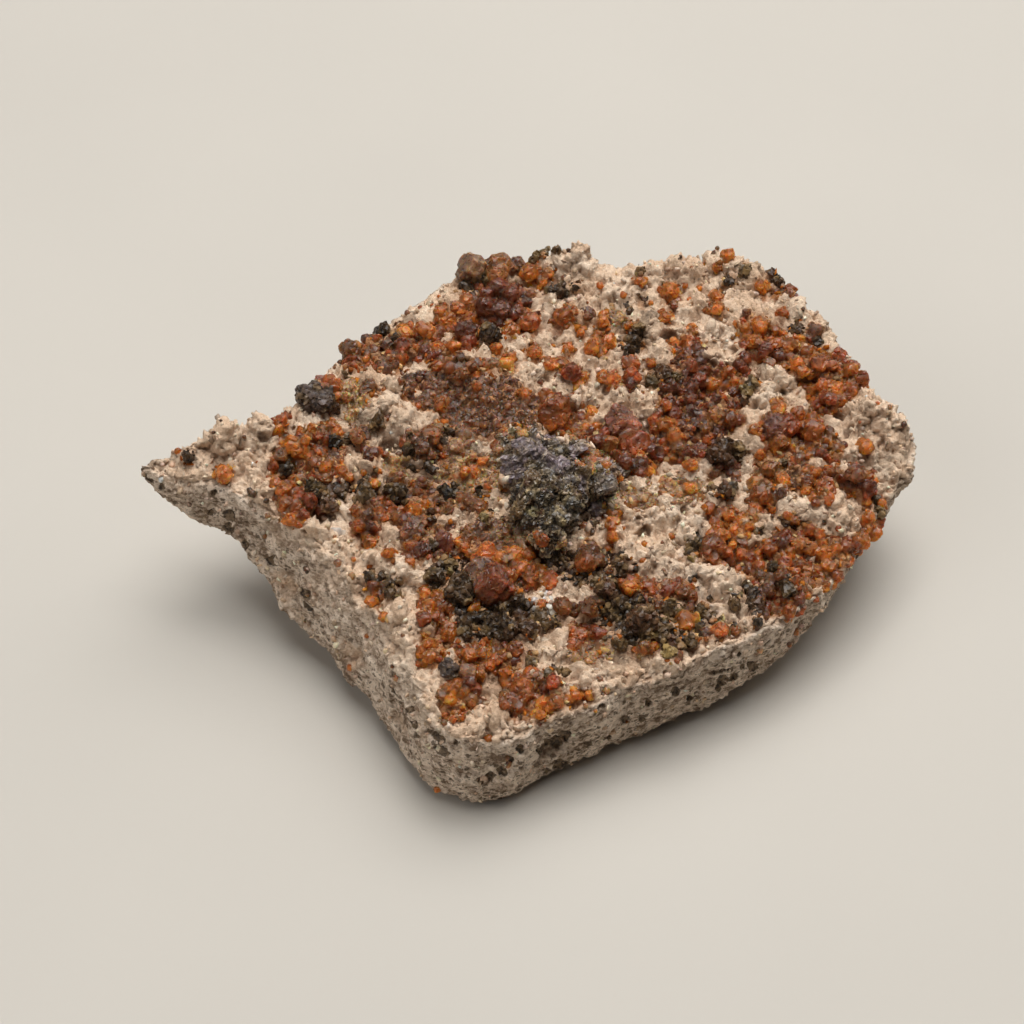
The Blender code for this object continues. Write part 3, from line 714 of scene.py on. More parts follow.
class Tint(Enum):
    """Colours that single crystals are given, in linear light."""

    AMBER = (0.66, 0.21, 0.035)
    ORANGE = (0.56, 0.175, 0.02)
    RUST = (0.38, 0.105, 0.018)
    RED = (0.29, 0.066, 0.014)
    WINE = (0.19, 0.042, 0.012)
    LIVER = (0.125, 0.034, 0.013)
    PLUM = (0.30, 0.115, 0.07)
    # PLUM and MAUVE are partly the garnets' own purplish brown, partly painted reflection of the top light on
    # upper facets.
    BROWN = (0.19, 0.078, 0.03)
    MAUVE = (0.21, 0.098, 0.055)
    TAN = (0.46, 0.25, 0.12)
    FAWN = (0.33, 0.20, 0.115)
    UMBER = (0.31, 0.125, 0.036)
    SAND = (0.60, 0.36, 0.17)
    KHAKI = (0.26, 0.18, 0.065)
    OLIVE = (0.105, 0.06, 0.026)
    MOSS = (0.04, 0.021, 0.011)
    BARK = (0.07, 0.029, 0.014)
    GREEN_BLACK = (0.022, 0.015, 0.011)
    BLACK = (0.018, 0.015, 0.012)
    SLATE = (0.088, 0.066, 0.053)
    VIOLET_GREY = (0.205, 0.155, 0.165)
    SILVER = (0.72, 0.64, 0.54)
    STRAW = (0.50, 0.38, 0.20)
    CREAM = (0.72, 0.50, 0.335)
    CHALK = (0.84, 0.64, 0.47)


GARNET_TINTS = (Tint.AMBER, Tint.LIVER, Tint.ORANGE, Tint.RUST, Tint.RED, Tint.WINE, Tint.PLUM, Tint.BROWN,
                Tint.MAUVE, Tint.TAN, Tint.FAWN, Tint.UMBER, Tint.SAND)


class Form(Enum):
    """The crystals' forms."""

    DODECAHEDRON = "twelve faces"
    TRAPEZOHEDRON = "twenty-four faces"
    COMBINED = "both"
    BLOCK = "stout prism"
    BLADE = "long flat prism"
    FLAKE = "thin plate"
    CRUMB = "broken lump"
    GRAIN = "small broken lump"
    ROUGH = "lump with a rough layered skin"
    ROUGH_SMALL = "the same with fewer faces"


@dataclass
class Shape:
    """A closed shape about its own middle, ready to be copied many times."""

    points: Array
    corners: Array
    counts: Array

    @classmethod
    def of(cls, bm: bmesh.types.BMesh) -> "Shape":
        """Reads a shape.

        Args:
            bm: the bmesh that it is read from, which is freed.

        Returns:
            The shape.
        """
        bmesh.ops.recalc_face_normals(bm, faces=bm.faces)
        bm.verts.index_update()
        points = np.array([vert.co for vert in bm.verts])
        corners = np.array([vert.index for face in bm.faces for vert in face.verts])
        counts = np.array([len(face.verts) for face in bm.faces])
        bm.free()
        return cls(points, corners, counts)


class CrystalKit:
    """Cuts crystal shapes by planes, several of each form, unlike one another as real ones are.

    Uneven is how far the planes' distances vary. Broken is how many planes a broken form has and how far out
    they are. Prisms are half their length, width and depth.
    """

    VARIANTS: ClassVar[int] = 8
    UNEVEN: ClassVar[dict[Form, float]] = {
        Form.CRUMB: 0.28, Form.GRAIN: 0.3, Form.BLOCK: 0.16, Form.BLADE: 0.14, Form.FLAKE: 0.12}
    EVEN: ClassVar[float] = 0.075
    BROKEN: ClassVar[dict[Form, tuple[int, float]]] = {Form.CRUMB: (13, 0.72), Form.GRAIN: (8, 0.66)}
    PRISMS: ClassVar[dict[Form, Triple]] = {
        Form.BLOCK: (0.85, 0.7, 0.62), Form.BLADE: (1.0, 0.42, 0.26), Form.FLAKE: (0.9, 0.85, 0.13)}
    PRISM_CORNER: ClassVar[float] = 0.56
    ROUGH_DETAIL: ClassVar[dict[Form, int]] = {Form.ROUGH: 4, Form.ROUGH_SMALL: 3}
    ROUGH_SIDES: ClassVar[int] = 12
    ROUGH_REACH: ClassVar[Pair] = (0.6, 0.92)
    ROUGH_MOST: ClassVar[float] = 1.1
    ROUGH_LAYERS: ClassVar[float] = 4.5
    LAYER_DEPTH: ClassVar[float] = 0.13
    ROUGHNESS: ClassVar[float] = 0.22
    WORN_EDGE: ClassVar[float] = 0.055
    LEAST_EDGE: ClassVar[float] = 0.03
    LEAST_WORN_EDGE: ClassVar[float] = 0.012

    def __init__(self, seed: int) -> None:
        """Cuts every form's shapes, sharp and with worn edges.

        Args:
            seed: where the random draws start.
        """
        self.draw = np.random.default_rng(seed)
        self.noise = Noise(seed)
        self.shapes: dict[tuple[Form, bool], list[Shape]] = {}
        for form in Form:
            for worn in (False, True):
                if form in self.ROUGH_DETAIL:
                    made = [self._roughen(self.ROUGH_DETAIL[form]) for _ in range(self.VARIANTS)]
                else:
                    made = [self._cut(form, worn) for _ in range(self.VARIANTS)]
                self.shapes[form, worn] = made

    def _planes(self, form: Form) -> list[tuple[Vector, float]]:
        """Sets out the faces of a form.

        Args:
            form: the form.

        Returns:
            Each face's direction and its distance from the middle.
        """
        signs = (-1, 1)
        twelve = [Vector(v) for a in signs for b in signs for v in ((a, b, 0), (a, 0, b), (0, a, b))]
        kites = [Vector(v) for a in signs for b in signs for c in signs
                 for v in ((2 * a, b, c), (a, 2 * b, c), (a, b, 2 * c))]
        match form:
            case Form.DODECAHEDRON:
                planes = [(v, 0.84) for v in twelve]
            case Form.TRAPEZOHEDRON:
                planes = [(v, 0.90) for v in kites]
            case Form.COMBINED:
                planes = [(v, 0.86) for v in twelve] + [(v, 0.885) for v in kites]
            case Form.CRUMB | Form.GRAIN:
                count, reach = self.BROKEN[form]
                planes = [(Vector(self.draw.normal(size=3)), reach) for _ in range(count)]
            case _:
                planes = self._prism_planes(form)
        uneven = self.UNEVEN.get(form, self.EVEN)
        return [(v.normalized(), d * (1 + self.draw.normal() * uneven)) for v, d in planes]

    def _prism_planes(self, form: Form) -> list[tuple[Vector, float]]:
        """Sets out the faces of a prism along x, stout, long or thin.

        Args:
            form: the form.

        Returns:
            Each face's direction and its distance from the middle.
        """
        length, width, depth = self.PRISMS[form]
        planes = [(Vector((0, s, 0.1)), width) for s in (-1, 1)]
        planes += [(Vector((0, 0.1, s)), depth) for s in (-1, 1)]
        planes += [(Vector((0, a, b)), (width + depth) * self.PRISM_CORNER) for a in (-1, 1) for b in (-1, 1)]
        planes += [(Vector((s, t, 0.3 * t)), length) for s in (-1, 1) for t in (-0.25, 0.45)]
        return planes

    def _cut(self, form: Form, worn: bool) -> Shape:
        """Cuts one shape of a form.

        Args:
            form: the form.
            worn: True for narrow worn faces along the edges.

        Returns:
            The closed shape, about 1 from its middle to its corners.
        """
        bm = bmesh.new()
        bmesh.ops.create_cube(bm, size=3)
        for normal, distance in self._planes(form):
            whole = bm.verts[:] + bm.edges[:] + bm.faces[:]
            cut = bmesh.ops.bisect_plane(
                bm, geom=whole, dist=1e-5, plane_co=normal * distance, plane_no=normal, clear_outer=True)
            edges = [item for item in cut["geom_cut"] if isinstance(item, bmesh.types.BMEdge)]
            if edges:
                bmesh.ops.holes_fill(bm, edges=edges, sides=0)
        bmesh.ops.remove_doubles(bm, verts=bm.verts, dist=self.LEAST_EDGE)
        if worn:
            bmesh.ops.bevel(bm, geom=bm.edges[:], offset=self.WORN_EDGE, segments=1, affect="EDGES",
                            clamp_overlap=True)
            bmesh.ops.remove_doubles(bm, verts=bm.verts, dist=self.LEAST_WORN_EDGE)
        return Shape.of(bm)

    def _roughen(self, detail: int) -> Shape:
        """Makes a lump with flat sides under a rough skin of thin layers.

        Args:
            detail: how often the round blank is divided.

        Returns:
            The closed shape, about 1 from its middle to its corners.
        """
        bm = bmesh.new()
        bmesh.ops.create_icosphere(bm, subdivisions=detail, radius=1)
        ways = np.array([vert.co for vert in bm.verts])
        sides = self.draw.normal(size=(self.ROUGH_SIDES, 3))
        sides /= np.linalg.norm(sides, axis=1, keepdims=True)
        reach = self.draw.uniform(*self.ROUGH_REACH, self.ROUGH_SIDES) / np.maximum(ways @ sides.T, 0.05)
        reach = np.minimum(reach.min(axis=1), self.ROUGH_MOST)
        shift = self.draw.uniform(0, 50)
        along = ways @ sides[0] * self.ROUGH_LAYERS + 1.1 * self.noise.smooth(ways + shift, 0.8)
        layers = self.LAYER_DEPTH * (np.abs(along % 1 - 0.5) - 0.25)
        reach *= 1 + layers + self.ROUGHNESS * self.noise.layered(ways + shift, 0.55, 3, 0.6)
        for vert, distance in zip(bm.verts, reach):
            vert.co *= distance
        return Shape.of(bm)

    def pick(self, form: Form, worn: bool, draw: np.random.Generator) -> Shape:
        """One of a form's shapes."""
        return one_of(draw, self.shapes[form, worn])


def one_of(draw: np.random.Generator, options: Sequence[Option]) -> Option:
    """One of the options, at random."""
    return options[draw.integers(len(options))]


@dataclass(frozen=True)
class Skin:
    """How crystals that have grown together are made into one mass.

    The mass is read on a grid of voxel, and smoothed. Its surface is roughened by grain at spacing, and is
    broken into chips of chip_size that stand that far apart in height and in tone. Some chips are flecks of
    another colour. Blend is how often the colours of neighbouring points are mixed, shade how dark the gaps
    are, and keep the share of the triangles kept. Lengths are in millimetres.
    """

    grain: float
    spacing: float
    chips: float
    chip_size: float
    chip_tone: float
    blend: int
    keep: float = 0.36
    fleck: Colour = (0.0, 0.0, 0.0)
    flecks: float = 0.0
    voxel: float = 0.16
    smoothing: int = 0
    shade: float = 3.0
    shade_range: Pair = (0.22, 1.3)
    bend: float = 0.3
    fleck_values: Pair = (0.84, 0.9)
    gap: float = 0.16
    middle_tone: float = 0.45
    middle_height: float = 0.4
    rough_tone: float = 0.3


GARNET_SKIN = Skin(grain=0.07, spacing=0.5, chips=0.17, chip_size=0.8, chip_tone=0.45, blend=2)
MINERAL_SKIN = Skin(grain=0.14, spacing=0.6, chips=0.36, chip_size=0.95, chip_tone=0.9, blend=1,
                    fleck=(0.30, 0.19, 0.08), flecks=0.5)
CLUSTER_SKIN = Skin(grain=0.16, spacing=0.5, chips=0.26, chip_size=0.55, chip_tone=0.8, blend=1, keep=0.4,
                    fleck=(0.40, 0.30, 0.16), flecks=0.5)


class Batch:
    """Crystals of one finish that are made as one mesh, joined or grown together.

    Tone and hue vary from crystal to crystal, and zoning from point to point. Garnets get a painted glow:
    they are painted warmer and brighter on the side where light passing through them would come out.
    """

    ZONING: ClassVar[float] = 0.10
    FACET_ANGLE: ClassVar[float] = math.radians(28)
    TONE: ClassVar[Pair] = (-0.05, 0.26)
    HUE_SPREAD: ClassVar[float] = 0.025
    GLOW_SIDE: ClassVar[Array] = np.array([0.25, -0.75, -0.6])
    GLOW_LEVEL: ClassVar[float] = 0.35
    GLOW_SLOPE: ClassVar[float] = 0.6
    GLOW_JITTER: ClassVar[float] = 0.3
    GLOW_BRIGHTNESS: ClassVar[Pair] = (0.6, 0.95)
    GLOW_WARMTH: ClassVar[Array] = np.array([0.3, 0.22, 0.08])
    OWNERS: ClassVar[int] = 5

    def __init__(self, kit: CrystalKit, seed: int) -> None:
        """Starts an empty batch.

        Args:
            kit: what the crystals are cut from.
            seed: where the random draws start.
        """
        self.kit = kit
        self.draw = np.random.default_rng(seed)
        self.noise = Noise(seed)
        self.points: list[Array] = []
        self.corners: list[Array] = []
        self.counts: list[Array] = []
        self.owners: list[Array] = []
        self.middles: list[Array] = []
        self.radii: list[float] = []
        self.colours: list[Array] = []
        self.glowing: list[bool] = []
        self.total = 0

    def add(self, form: Form, middle: Vector | Array, radius: float, tint: Tint, worn: bool = True,
            turn: Matrix | None = None, stretch: Triple = (1, 1, 1)) -> None:
        """Adds one crystal.

        Args:
            form: its form.
            middle: its middle, in millimetres.
            radius: from its middle to its corners.
            tint: its colour, which is varied a little.
            worn: True for worn edges.
            turn: its rotation, or None for any.
            stretch: how far it is drawn out along its own axes.
        """
        shape = self.kit.pick(form, worn, self.draw)
        if turn is None:
            turn = Euler(self.draw.uniform(0, math.tau, 3)).to_matrix()
        placed = (shape.points * (np.array(stretch) * radius)) @ np.array(turn).T + np.array(middle)
        self.points.append(placed)
        self.corners.append(shape.corners + self.total)
        self.counts.append(shape.counts)
        self.owners.append(np.full(len(placed), len(self.middles)))
        self.middles.append(np.array(middle))
        self.radii.append(radius)
        tone = math.exp(self.draw.normal(*self.TONE)) * self.draw.normal(1.0, self.HUE_SPREAD, 3)
        self.colours.append(np.array(tint.value) * tone)
        self.glowing.append(tint in GARNET_TINTS)
        self.total += len(placed)

    def _tinted(self, places: Array, owners: Array) -> Array:
        """Colours places by the crystals that they belong to, with a painted glow on one side of each garnet.

        Args:
            places: points, one a row, in millimetres.
            owners: the number of each point's crystal.

        Returns:
            One colour for each point.
        """
        middles, radii = np.array(self.middles), np.array(self.radii)
        base = np.array(self.colours)[owners]
        jitter = np.random.default_rng(self.total).normal(size=len(radii))
        # Painted glow: garnets are brighter and warmer towards GLOW_SIDE, where light that passes through
        # them would come out.
        lean = (places - middles[owners]) @ self.GLOW_SIDE / radii[owners] + self.GLOW_JITTER * jitter[owners]
        glow = np.clip(self.GLOW_LEVEL + self.GLOW_SLOPE * lean, 0, 1)[:, None]
        least, more = self.GLOW_BRIGHTNESS
        warm = base * (least + more * glow) + glow * base * self.GLOW_WARMTH
        colours = np.where(np.array(self.glowing)[owners][:, None], warm, base)
        return colours * (1 + self.ZONING * self.draw.normal(size=(len(places), 1)))

    def _shells(self, name: str) -> Mesh:
        """The crystals as separate closed shells in one mesh."""
        points = np.clip(np.concatenate(self.points) * MM, *BOX_LIMITS)
        return mesh_from_arrays(name, points, np.concatenate(self.corners), np.concatenate(self.counts))

    def make(self, name: str, material: Material, slot: str, *replaced: str) -> bpy.types.Object:
        """Makes the joined mesh.

        Args:
            name: the piece's name.
            material: its material.
            slot: the record's material slot.
            replaced: the model's nodes that it stands for.

        Returns:
            The piece, which rides on the specimen.
        """
        mesh = self._shells(name)
        colours = self._tinted(np.concatenate(self.points), np.concatenate(self.owners))
        store_colours(mesh, "tint", with_alpha(colours))
        return finish_piece(name, mesh, material, slot, *replaced)

    def make_grown(self, name: str, skin: Skin, material: Material, slot: str,
                   *replaced: str) -> bpy.types.Object:
        """Makes one mass of the crystals, grown together.

        Args:
            name: the piece's name.
            skin: how the mass is made.
            material: its material.
            slot: the record's material slot.
            replaced: the model's nodes that it stands for.

        Returns:
            The piece, which rides on the specimen.
        """
        mesh = evened(add_object("work", self._shells(name)), skin.voxel, skin.smoothing)
        places, normals = read_points(mesh)
        tree = KDTree(len(self.middles))
        for index, middle in enumerate(self.middles):
            tree.insert(middle, index)
        tree.balance()
        owners = np.array([self._owner(tree, place) for place in places])
        links = Links(mesh)
        rough = self.noise.layered(places, skin.spacing, 3, 0.65)
        near, second, chip = self.noise.cells(places + skin.bend * rough[:, None], skin.chip_size)
        fleck = skin.flecks * ease(*skin.fleck_values, chip)
        chip *= ease(0.0, skin.gap, second - near)
        colours = self._tinted(places, owners) * (1 + skin.chip_tone * (chip - skin.middle_tone))[:, None]
        colours += (np.array(skin.fleck) - colours) * fleck[:, None]
        colours = links.spread(colours, skin.blend)
        height = skin.grain * rough + skin.chips * (chip - skin.middle_height)
        # Painted shade in the gaps between the crystals, and painted light where they stand out.
        sunk = ((links.spread(places, 5) - places) * normals).sum(axis=1) + links.spread(height, 4) - height
        colours *= np.clip(1 - skin.shade * sunk, *skin.shade_range)[:, None]
        colours *= 1 + skin.rough_tone * rough[:, None]
        moved = (places + normals * height[:, None]) * MM
        mesh.vertices.foreach_set("co", np.clip(moved, *BOX_LIMITS).ravel())
        store_colours(mesh, "tint", with_alpha(colours))
        mesh.update()
        mesh.calc_loop_triangles()
        mesh = thinned(mesh, int(len(mesh.loop_triangles) * skin.keep))
        mesh.polygons.foreach_set("use_smooth", [True] * len(mesh.polygons))
        mesh.set_sharp_from_angle(angle=self.FACET_ANGLE)
        return finish_piece(name, mesh, material, slot, *replaced)

    def _owner(self, tree: KDTree, place: Array) -> int:
        """The crystal that a place of the surface belongs to."""
        near = tree.find_n(place, self.OWNERS)
        return min(near, key=lambda found: found[2] - self.radii[found[1]])[1]


def with_alpha(colours: Array, brightest: float = BRIGHTEST) -> Array:
    """Colours held within what a surface can have, with a full alpha."""
    return np.hstack([np.clip(colours, DARKEST, brightest), np.ones((len(colours), 1))])


def mesh_from_arrays(name: str, points: Array, corners: Array, counts: Array) -> Mesh:
    """Makes a mesh.

    Args:
        name: its name.
        points: its points, in metres.
        corners: the points at its faces' corners, in a row.
        counts: how many corners each face has.

    Returns:
        The mesh.
    """
    mesh = bpy.data.meshes.new(name)
    mesh.vertices.add(len(points))
    mesh.vertices.foreach_set("co", points.ravel())
    mesh.loops.add(len(corners))
    mesh.loops.foreach_set("vertex_index", corners.astype(np.int32))
    mesh.polygons.add(len(counts))
    starts = np.concatenate([[0], np.cumsum(counts)[:-1]])
    mesh.polygons.foreach_set("loop_start", starts.astype(np.int32))
    mesh.update(calc_edges=True)
    mesh.validate()
    return mesh


def store_colours(mesh: Mesh, name: str, colours: Array) -> None:
    """Keeps a colour for each point of a mesh under a name."""
    layer = mesh.attributes.new(name, "FLOAT_COLOR", "POINT")
    layer.data.foreach_set("color", colours.ravel())


def add_object(name: str, data: bpy.types.ID) -> bpy.types.Object:
    """Puts an object of that data in the scene.

    Args:
        name: the object's name.
        data: its mesh, light or camera.

    Returns:
        The object.
    """
    made = bpy.data.objects.new(name, data)
    bpy.context.scene.collection.objects.link(made)
    return made


def finish_piece(name: str, mesh: Mesh, material: Material, slot: str,
                 *replaced: str) -> bpy.types.Object:
    """Makes a piece of a mesh, dresses it, and declares what it rides on and what it replaces.

    Args:
        name: the piece's name.
        mesh: its mesh.
        material: its material.
        slot: the record's material slot; not used.
        replaced: the model's nodes that it stands for.

    Returns:
        The piece.
    """
    piece = add_object(name, mesh)
    mesh.materials.clear()
    mesh.materials.append(material)
    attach(piece, BODY)
    if replaced:
        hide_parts(*replaced)
    mesh.calc_loop_triangles()
    LOG.info("%s: %d triangles", name, len(mesh.loop_triangles))
    return piece


def inside(outline: Sequence[Pixel], u: Array, v: Array) -> Array:
    """Finds which pixels lie inside an outline.

    Args:
        outline: the outline's corners.
        u: the pixels' columns.
        v: their rows.

    Returns:
        True for each pixel inside.
    """
    within = np.zeros(len(u), bool)
    for (u0, v0), (u1, v1) in zip(outline, [*outline[1:], outline[0]]):
        crosses = (v0 > v) != (v1 > v)
        edge = u0 + (v - v0) / ((v1 - v0) or 1e-9) * (u1 - u0)
        within ^= crosses & (u < edge)
    return within


def depth_inside(outline: Sequence[Pixel], u: Array, v: Array) -> Array:
    """Measures how far places are inside an outline.

    Args:
        outline: the outline's corners.
        u: the places' columns.
        v: their rows.

    Returns:
        The pixels to the outline, less than 0 outside it.
    """
    nearest = np.full(len(u), 1e9)
    for (u0, v0), (u1, v1) in zip(outline, [*outline[1:], outline[0]]):
        along = np.array([u1 - u0, v1 - v0])
        share = np.clip(((u - u0) * along[0] + (v - v0) * along[1]) / max(along @ along, 1e-9), 0, 1)
        nearest = np.minimum(nearest, np.hypot(u - u0 - share * along[0], v - v0 - share * along[1]))
    return np.where(inside(outline, u, v), nearest, -nearest)


def seen_at(places: Array) -> tuple[Array, Array]:
    """Finds where places are seen.

    Args:
        places: points, one a row, in millimetres.

    Returns:
        The column and the row of each.
    """
    sine, cosine = math.sin(VIEW.pitch), math.cos(VIEW.pitch)
    x, y, z = (places - np.array(VIEW.eye)).T
    depth = y * cosine - z * sine
    rise = y * sine + z * cosine
    return VIEW.middle + VIEW.focal * x / depth, VIEW.middle - VIEW.focal * rise / depth


class Kind(Enum):
    """What a spot of the upper surface is made of."""

    AMBER = "bright orange garnet"
    ORANGE = "orange garnet"
    RUST = "red-brown garnet"
    WINE = "dark red garnet"
    PLUM = "purple-brown garnet"
    BROWN = "brown garnet"
    DRUSE = "fine brown crystals"
    OCHRE = "rock stained orange"
    OLIVE = "olive mineral"
    DARK = "dark mineral"
    SILVER = "mica"
    CREAM = "a lump of bare rock"
    PIT = "a pit in the rock"


@dataclass(frozen=True)
class Growth:
    """How one kind grows.

    A spot's main crystal has that share of the spot's radius, and stands that share of its own radius
    above the rock. The rock rises under it by lift times the spot's radius, and is stained. Fill is the least
    and the most of the finer crystals' radii, in millimetres.
    """

    tints: tuple[Tint, ...]
    forms: tuple[Form, ...] = (Form.TRAPEZOHEDRON, Form.COMBINED, Form.DODECAHEDRON)
    fine: tuple[Form, ...] = (Form.DODECAHEDRON, Form.TRAPEZOHEDRON)
    size: float = 1.0
    stand: float = 0.3
    lift: float = 0.3
    stain: float = 0.95
    fill: tuple[float, float] = (0.38, 0.95)


# What the two dark kinds have in common.
DARK_SHAPE = {"forms": (Form.BLOCK, Form.CRUMB, Form.ROUGH), "fine": (Form.BLOCK, Form.CRUMB), "size": 1.05,
              "stand": 0.12, "lift": 0.4, "stain": 0.55, "fill": (0.3, 0.6)}
GROWTHS = {
    Kind.AMBER: Growth((Tint.AMBER, Tint.ORANGE, Tint.AMBER)),
    Kind.ORANGE: Growth((Tint.ORANGE, Tint.RUST, Tint.ORANGE, Tint.AMBER)),
    Kind.RUST: Growth((Tint.RUST, Tint.ORANGE, Tint.RED, Tint.UMBER, Tint.RUST)),
    Kind.WINE: Growth((Tint.WINE, Tint.LIVER, Tint.RED, Tint.LIVER)),
    Kind.PLUM: Growth((Tint.PLUM, Tint.MAUVE)),
    Kind.BROWN: Growth((Tint.BROWN, Tint.UMBER, Tint.MAUVE, Tint.RUST, Tint.FAWN)),
    Kind.DRUSE: Growth((Tint.BROWN, Tint.MAUVE, Tint.BROWN, Tint.UMBER), size=0.6, fill=(0.2, 0.4)),
    Kind.OCHRE: Growth((Tint.SAND, Tint.TAN, Tint.SAND, Tint.UMBER), size=0.5, stain=0.42, fill=(0.16, 0.36)),
    Kind.OLIVE: Growth((Tint.OLIVE, Tint.MOSS, Tint.KHAKI, Tint.OLIVE, Tint.BARK), **DARK_SHAPE),
    Kind.DARK: Growth((Tint.MOSS, Tint.GREEN_BLACK, Tint.BARK, Tint.MOSS), **DARK_SHAPE),
    Kind.SILVER: Growth((Tint.SILVER,), (Form.FLAKE,), (Form.FLAKE,), size=0.85, stand=0.15, lift=0.2,
                        stain=0.1),
}

# What grows over wider areas, by their outlines. The later ones are painted over the earlier ones.
AREAS: tuple[tuple[Kind, tuple[Pixel, ...]], ...] = (
    (Kind.RUST, ((272, 440), (290, 434), (330, 420), (352, 436), (345, 455), (340, 482), (304, 484),
                 (308, 522), (285, 526), (274, 500))),
    (Kind.RUST, ((396, 328), (440, 322), (478, 322), (480, 345), (440, 360), (400, 362), (380, 356))),
    (Kind.BROWN, ((345, 340), (385, 330), (400, 360), (385, 372), (350, 368))),
    (Kind.BROWN, ((430, 360), (470, 355), (500, 360), (480, 380), (440, 378))),
    (Kind.ORANGE, ((432, 305), (475, 300), (470, 330), (445, 330))),
    (Kind.WINE, ((470, 300), (484, 284), (520, 284), (535, 292), (526, 318), (505, 326), (478, 324))),
    (Kind.DRUSE, ((400, 372), (440, 370), (470, 378), (515, 376), (537, 400), (538, 428), (500, 432),
                  (484, 438), (455, 428), (428, 408), (402, 396))),
    (Kind.BROWN, ((400, 432), (440, 425), (470, 440), (455, 462), (420, 460), (402, 446))),
    (Kind.OCHRE, ((455, 452), (500, 455), (502, 488), (462, 492), (440, 484), (440, 468))),
    (Kind.OCHRE, ((382, 455), (410, 456), (408, 476), (384, 472))),
    (Kind.BROWN, ((360, 478), (400, 478), (445, 482), (470, 500), (455, 512), (400, 516), (352, 535),
                  (356, 505))),
    (Kind.BROWN, ((400, 522), (440, 520), (500, 522), (545, 545), (560, 560), (500, 562), (430, 556),
                  (402, 548))),
    (Kind.RUST, ((500, 548), (550, 548), (548, 585), (512, 590), (500, 570))),
    (Kind.RUST, ((536, 398), (572, 394), (592, 420), (588, 436), (545, 430))),
    (Kind.RUST, ((605, 440), (650, 440), (660, 470), (620, 478), (606, 462))),
    (Kind.WINE, ((656, 378), (684, 338), (702, 342), (712, 364), (745, 362), (745, 402), (735, 428),
                 (700, 460), (652, 462), (652, 425), (662, 402))),
    (Kind.RUST, ((732, 320), (800, 330), (842, 358), (868, 380), (850, 402), (820, 414), (806, 395),
                 (790, 366), (760, 362), (742, 350))),
    (Kind.RUST, ((760, 416), (800, 410), (828, 425), (845, 445), (838, 462), (800, 462), (770, 455),
                 (760, 435))),
    (Kind.RUST, ((756, 460), (800, 464), (875, 470), (878, 495), (820, 500), (780, 480), (775, 512),
                 (750, 512), (748, 485))),
    (Kind.OCHRE, ((640, 478), (700, 478), (708, 500), (660, 506), (615, 514), (612, 496))),
    (Kind.ORANGE, ((705, 505), (745, 510), (758, 530), (740, 548), (712, 540))),
    (Kind.RUST, ((700, 540), (745, 548), (800, 522), (850, 540), (868, 512), (882, 530), (850, 562),
                 (800, 616), (765, 614), (745, 570), (705, 562))),
    (Kind.DARK, ((545, 548), (600, 550), (640, 560), (632, 578), (580, 585), (548, 572))),
    (Kind.RUST, ((620, 578), (690, 582), (698, 602), (660, 602), (618, 598))),
    (Kind.DARK, ((430, 560), (465, 556), (470, 605), (560, 598), (575, 614), (552, 630), (515, 642),
                 (470, 642), (455, 612), (432, 592))),
    (Kind.RUST, ((420, 588), (450, 600), (455, 640), (440, 665), (418, 664), (424, 620))),
    (Kind.DARK, ((586, 600), (612, 582), (640, 598), (690, 600), (720, 618), (716, 634), (670, 648),
                 (640, 656), (600, 640))),
    (Kind.RUST, ((568, 622), (605, 628), (600, 645), (572, 645))),
    (Kind.ORANGE, ((450, 645), (500, 640), (520, 655), (500, 672), (460, 665))),
    (Kind.RUST, ((442, 684), (482, 678), (478, 705), (462, 722), (440, 716))),
    (Kind.RUST, ((498, 672), (545, 672), (560, 688), (572, 702), (545, 716), (510, 718))),
    (Kind.BROWN, ((364, 572), (386, 574), (390, 596), (372, 604))),
)

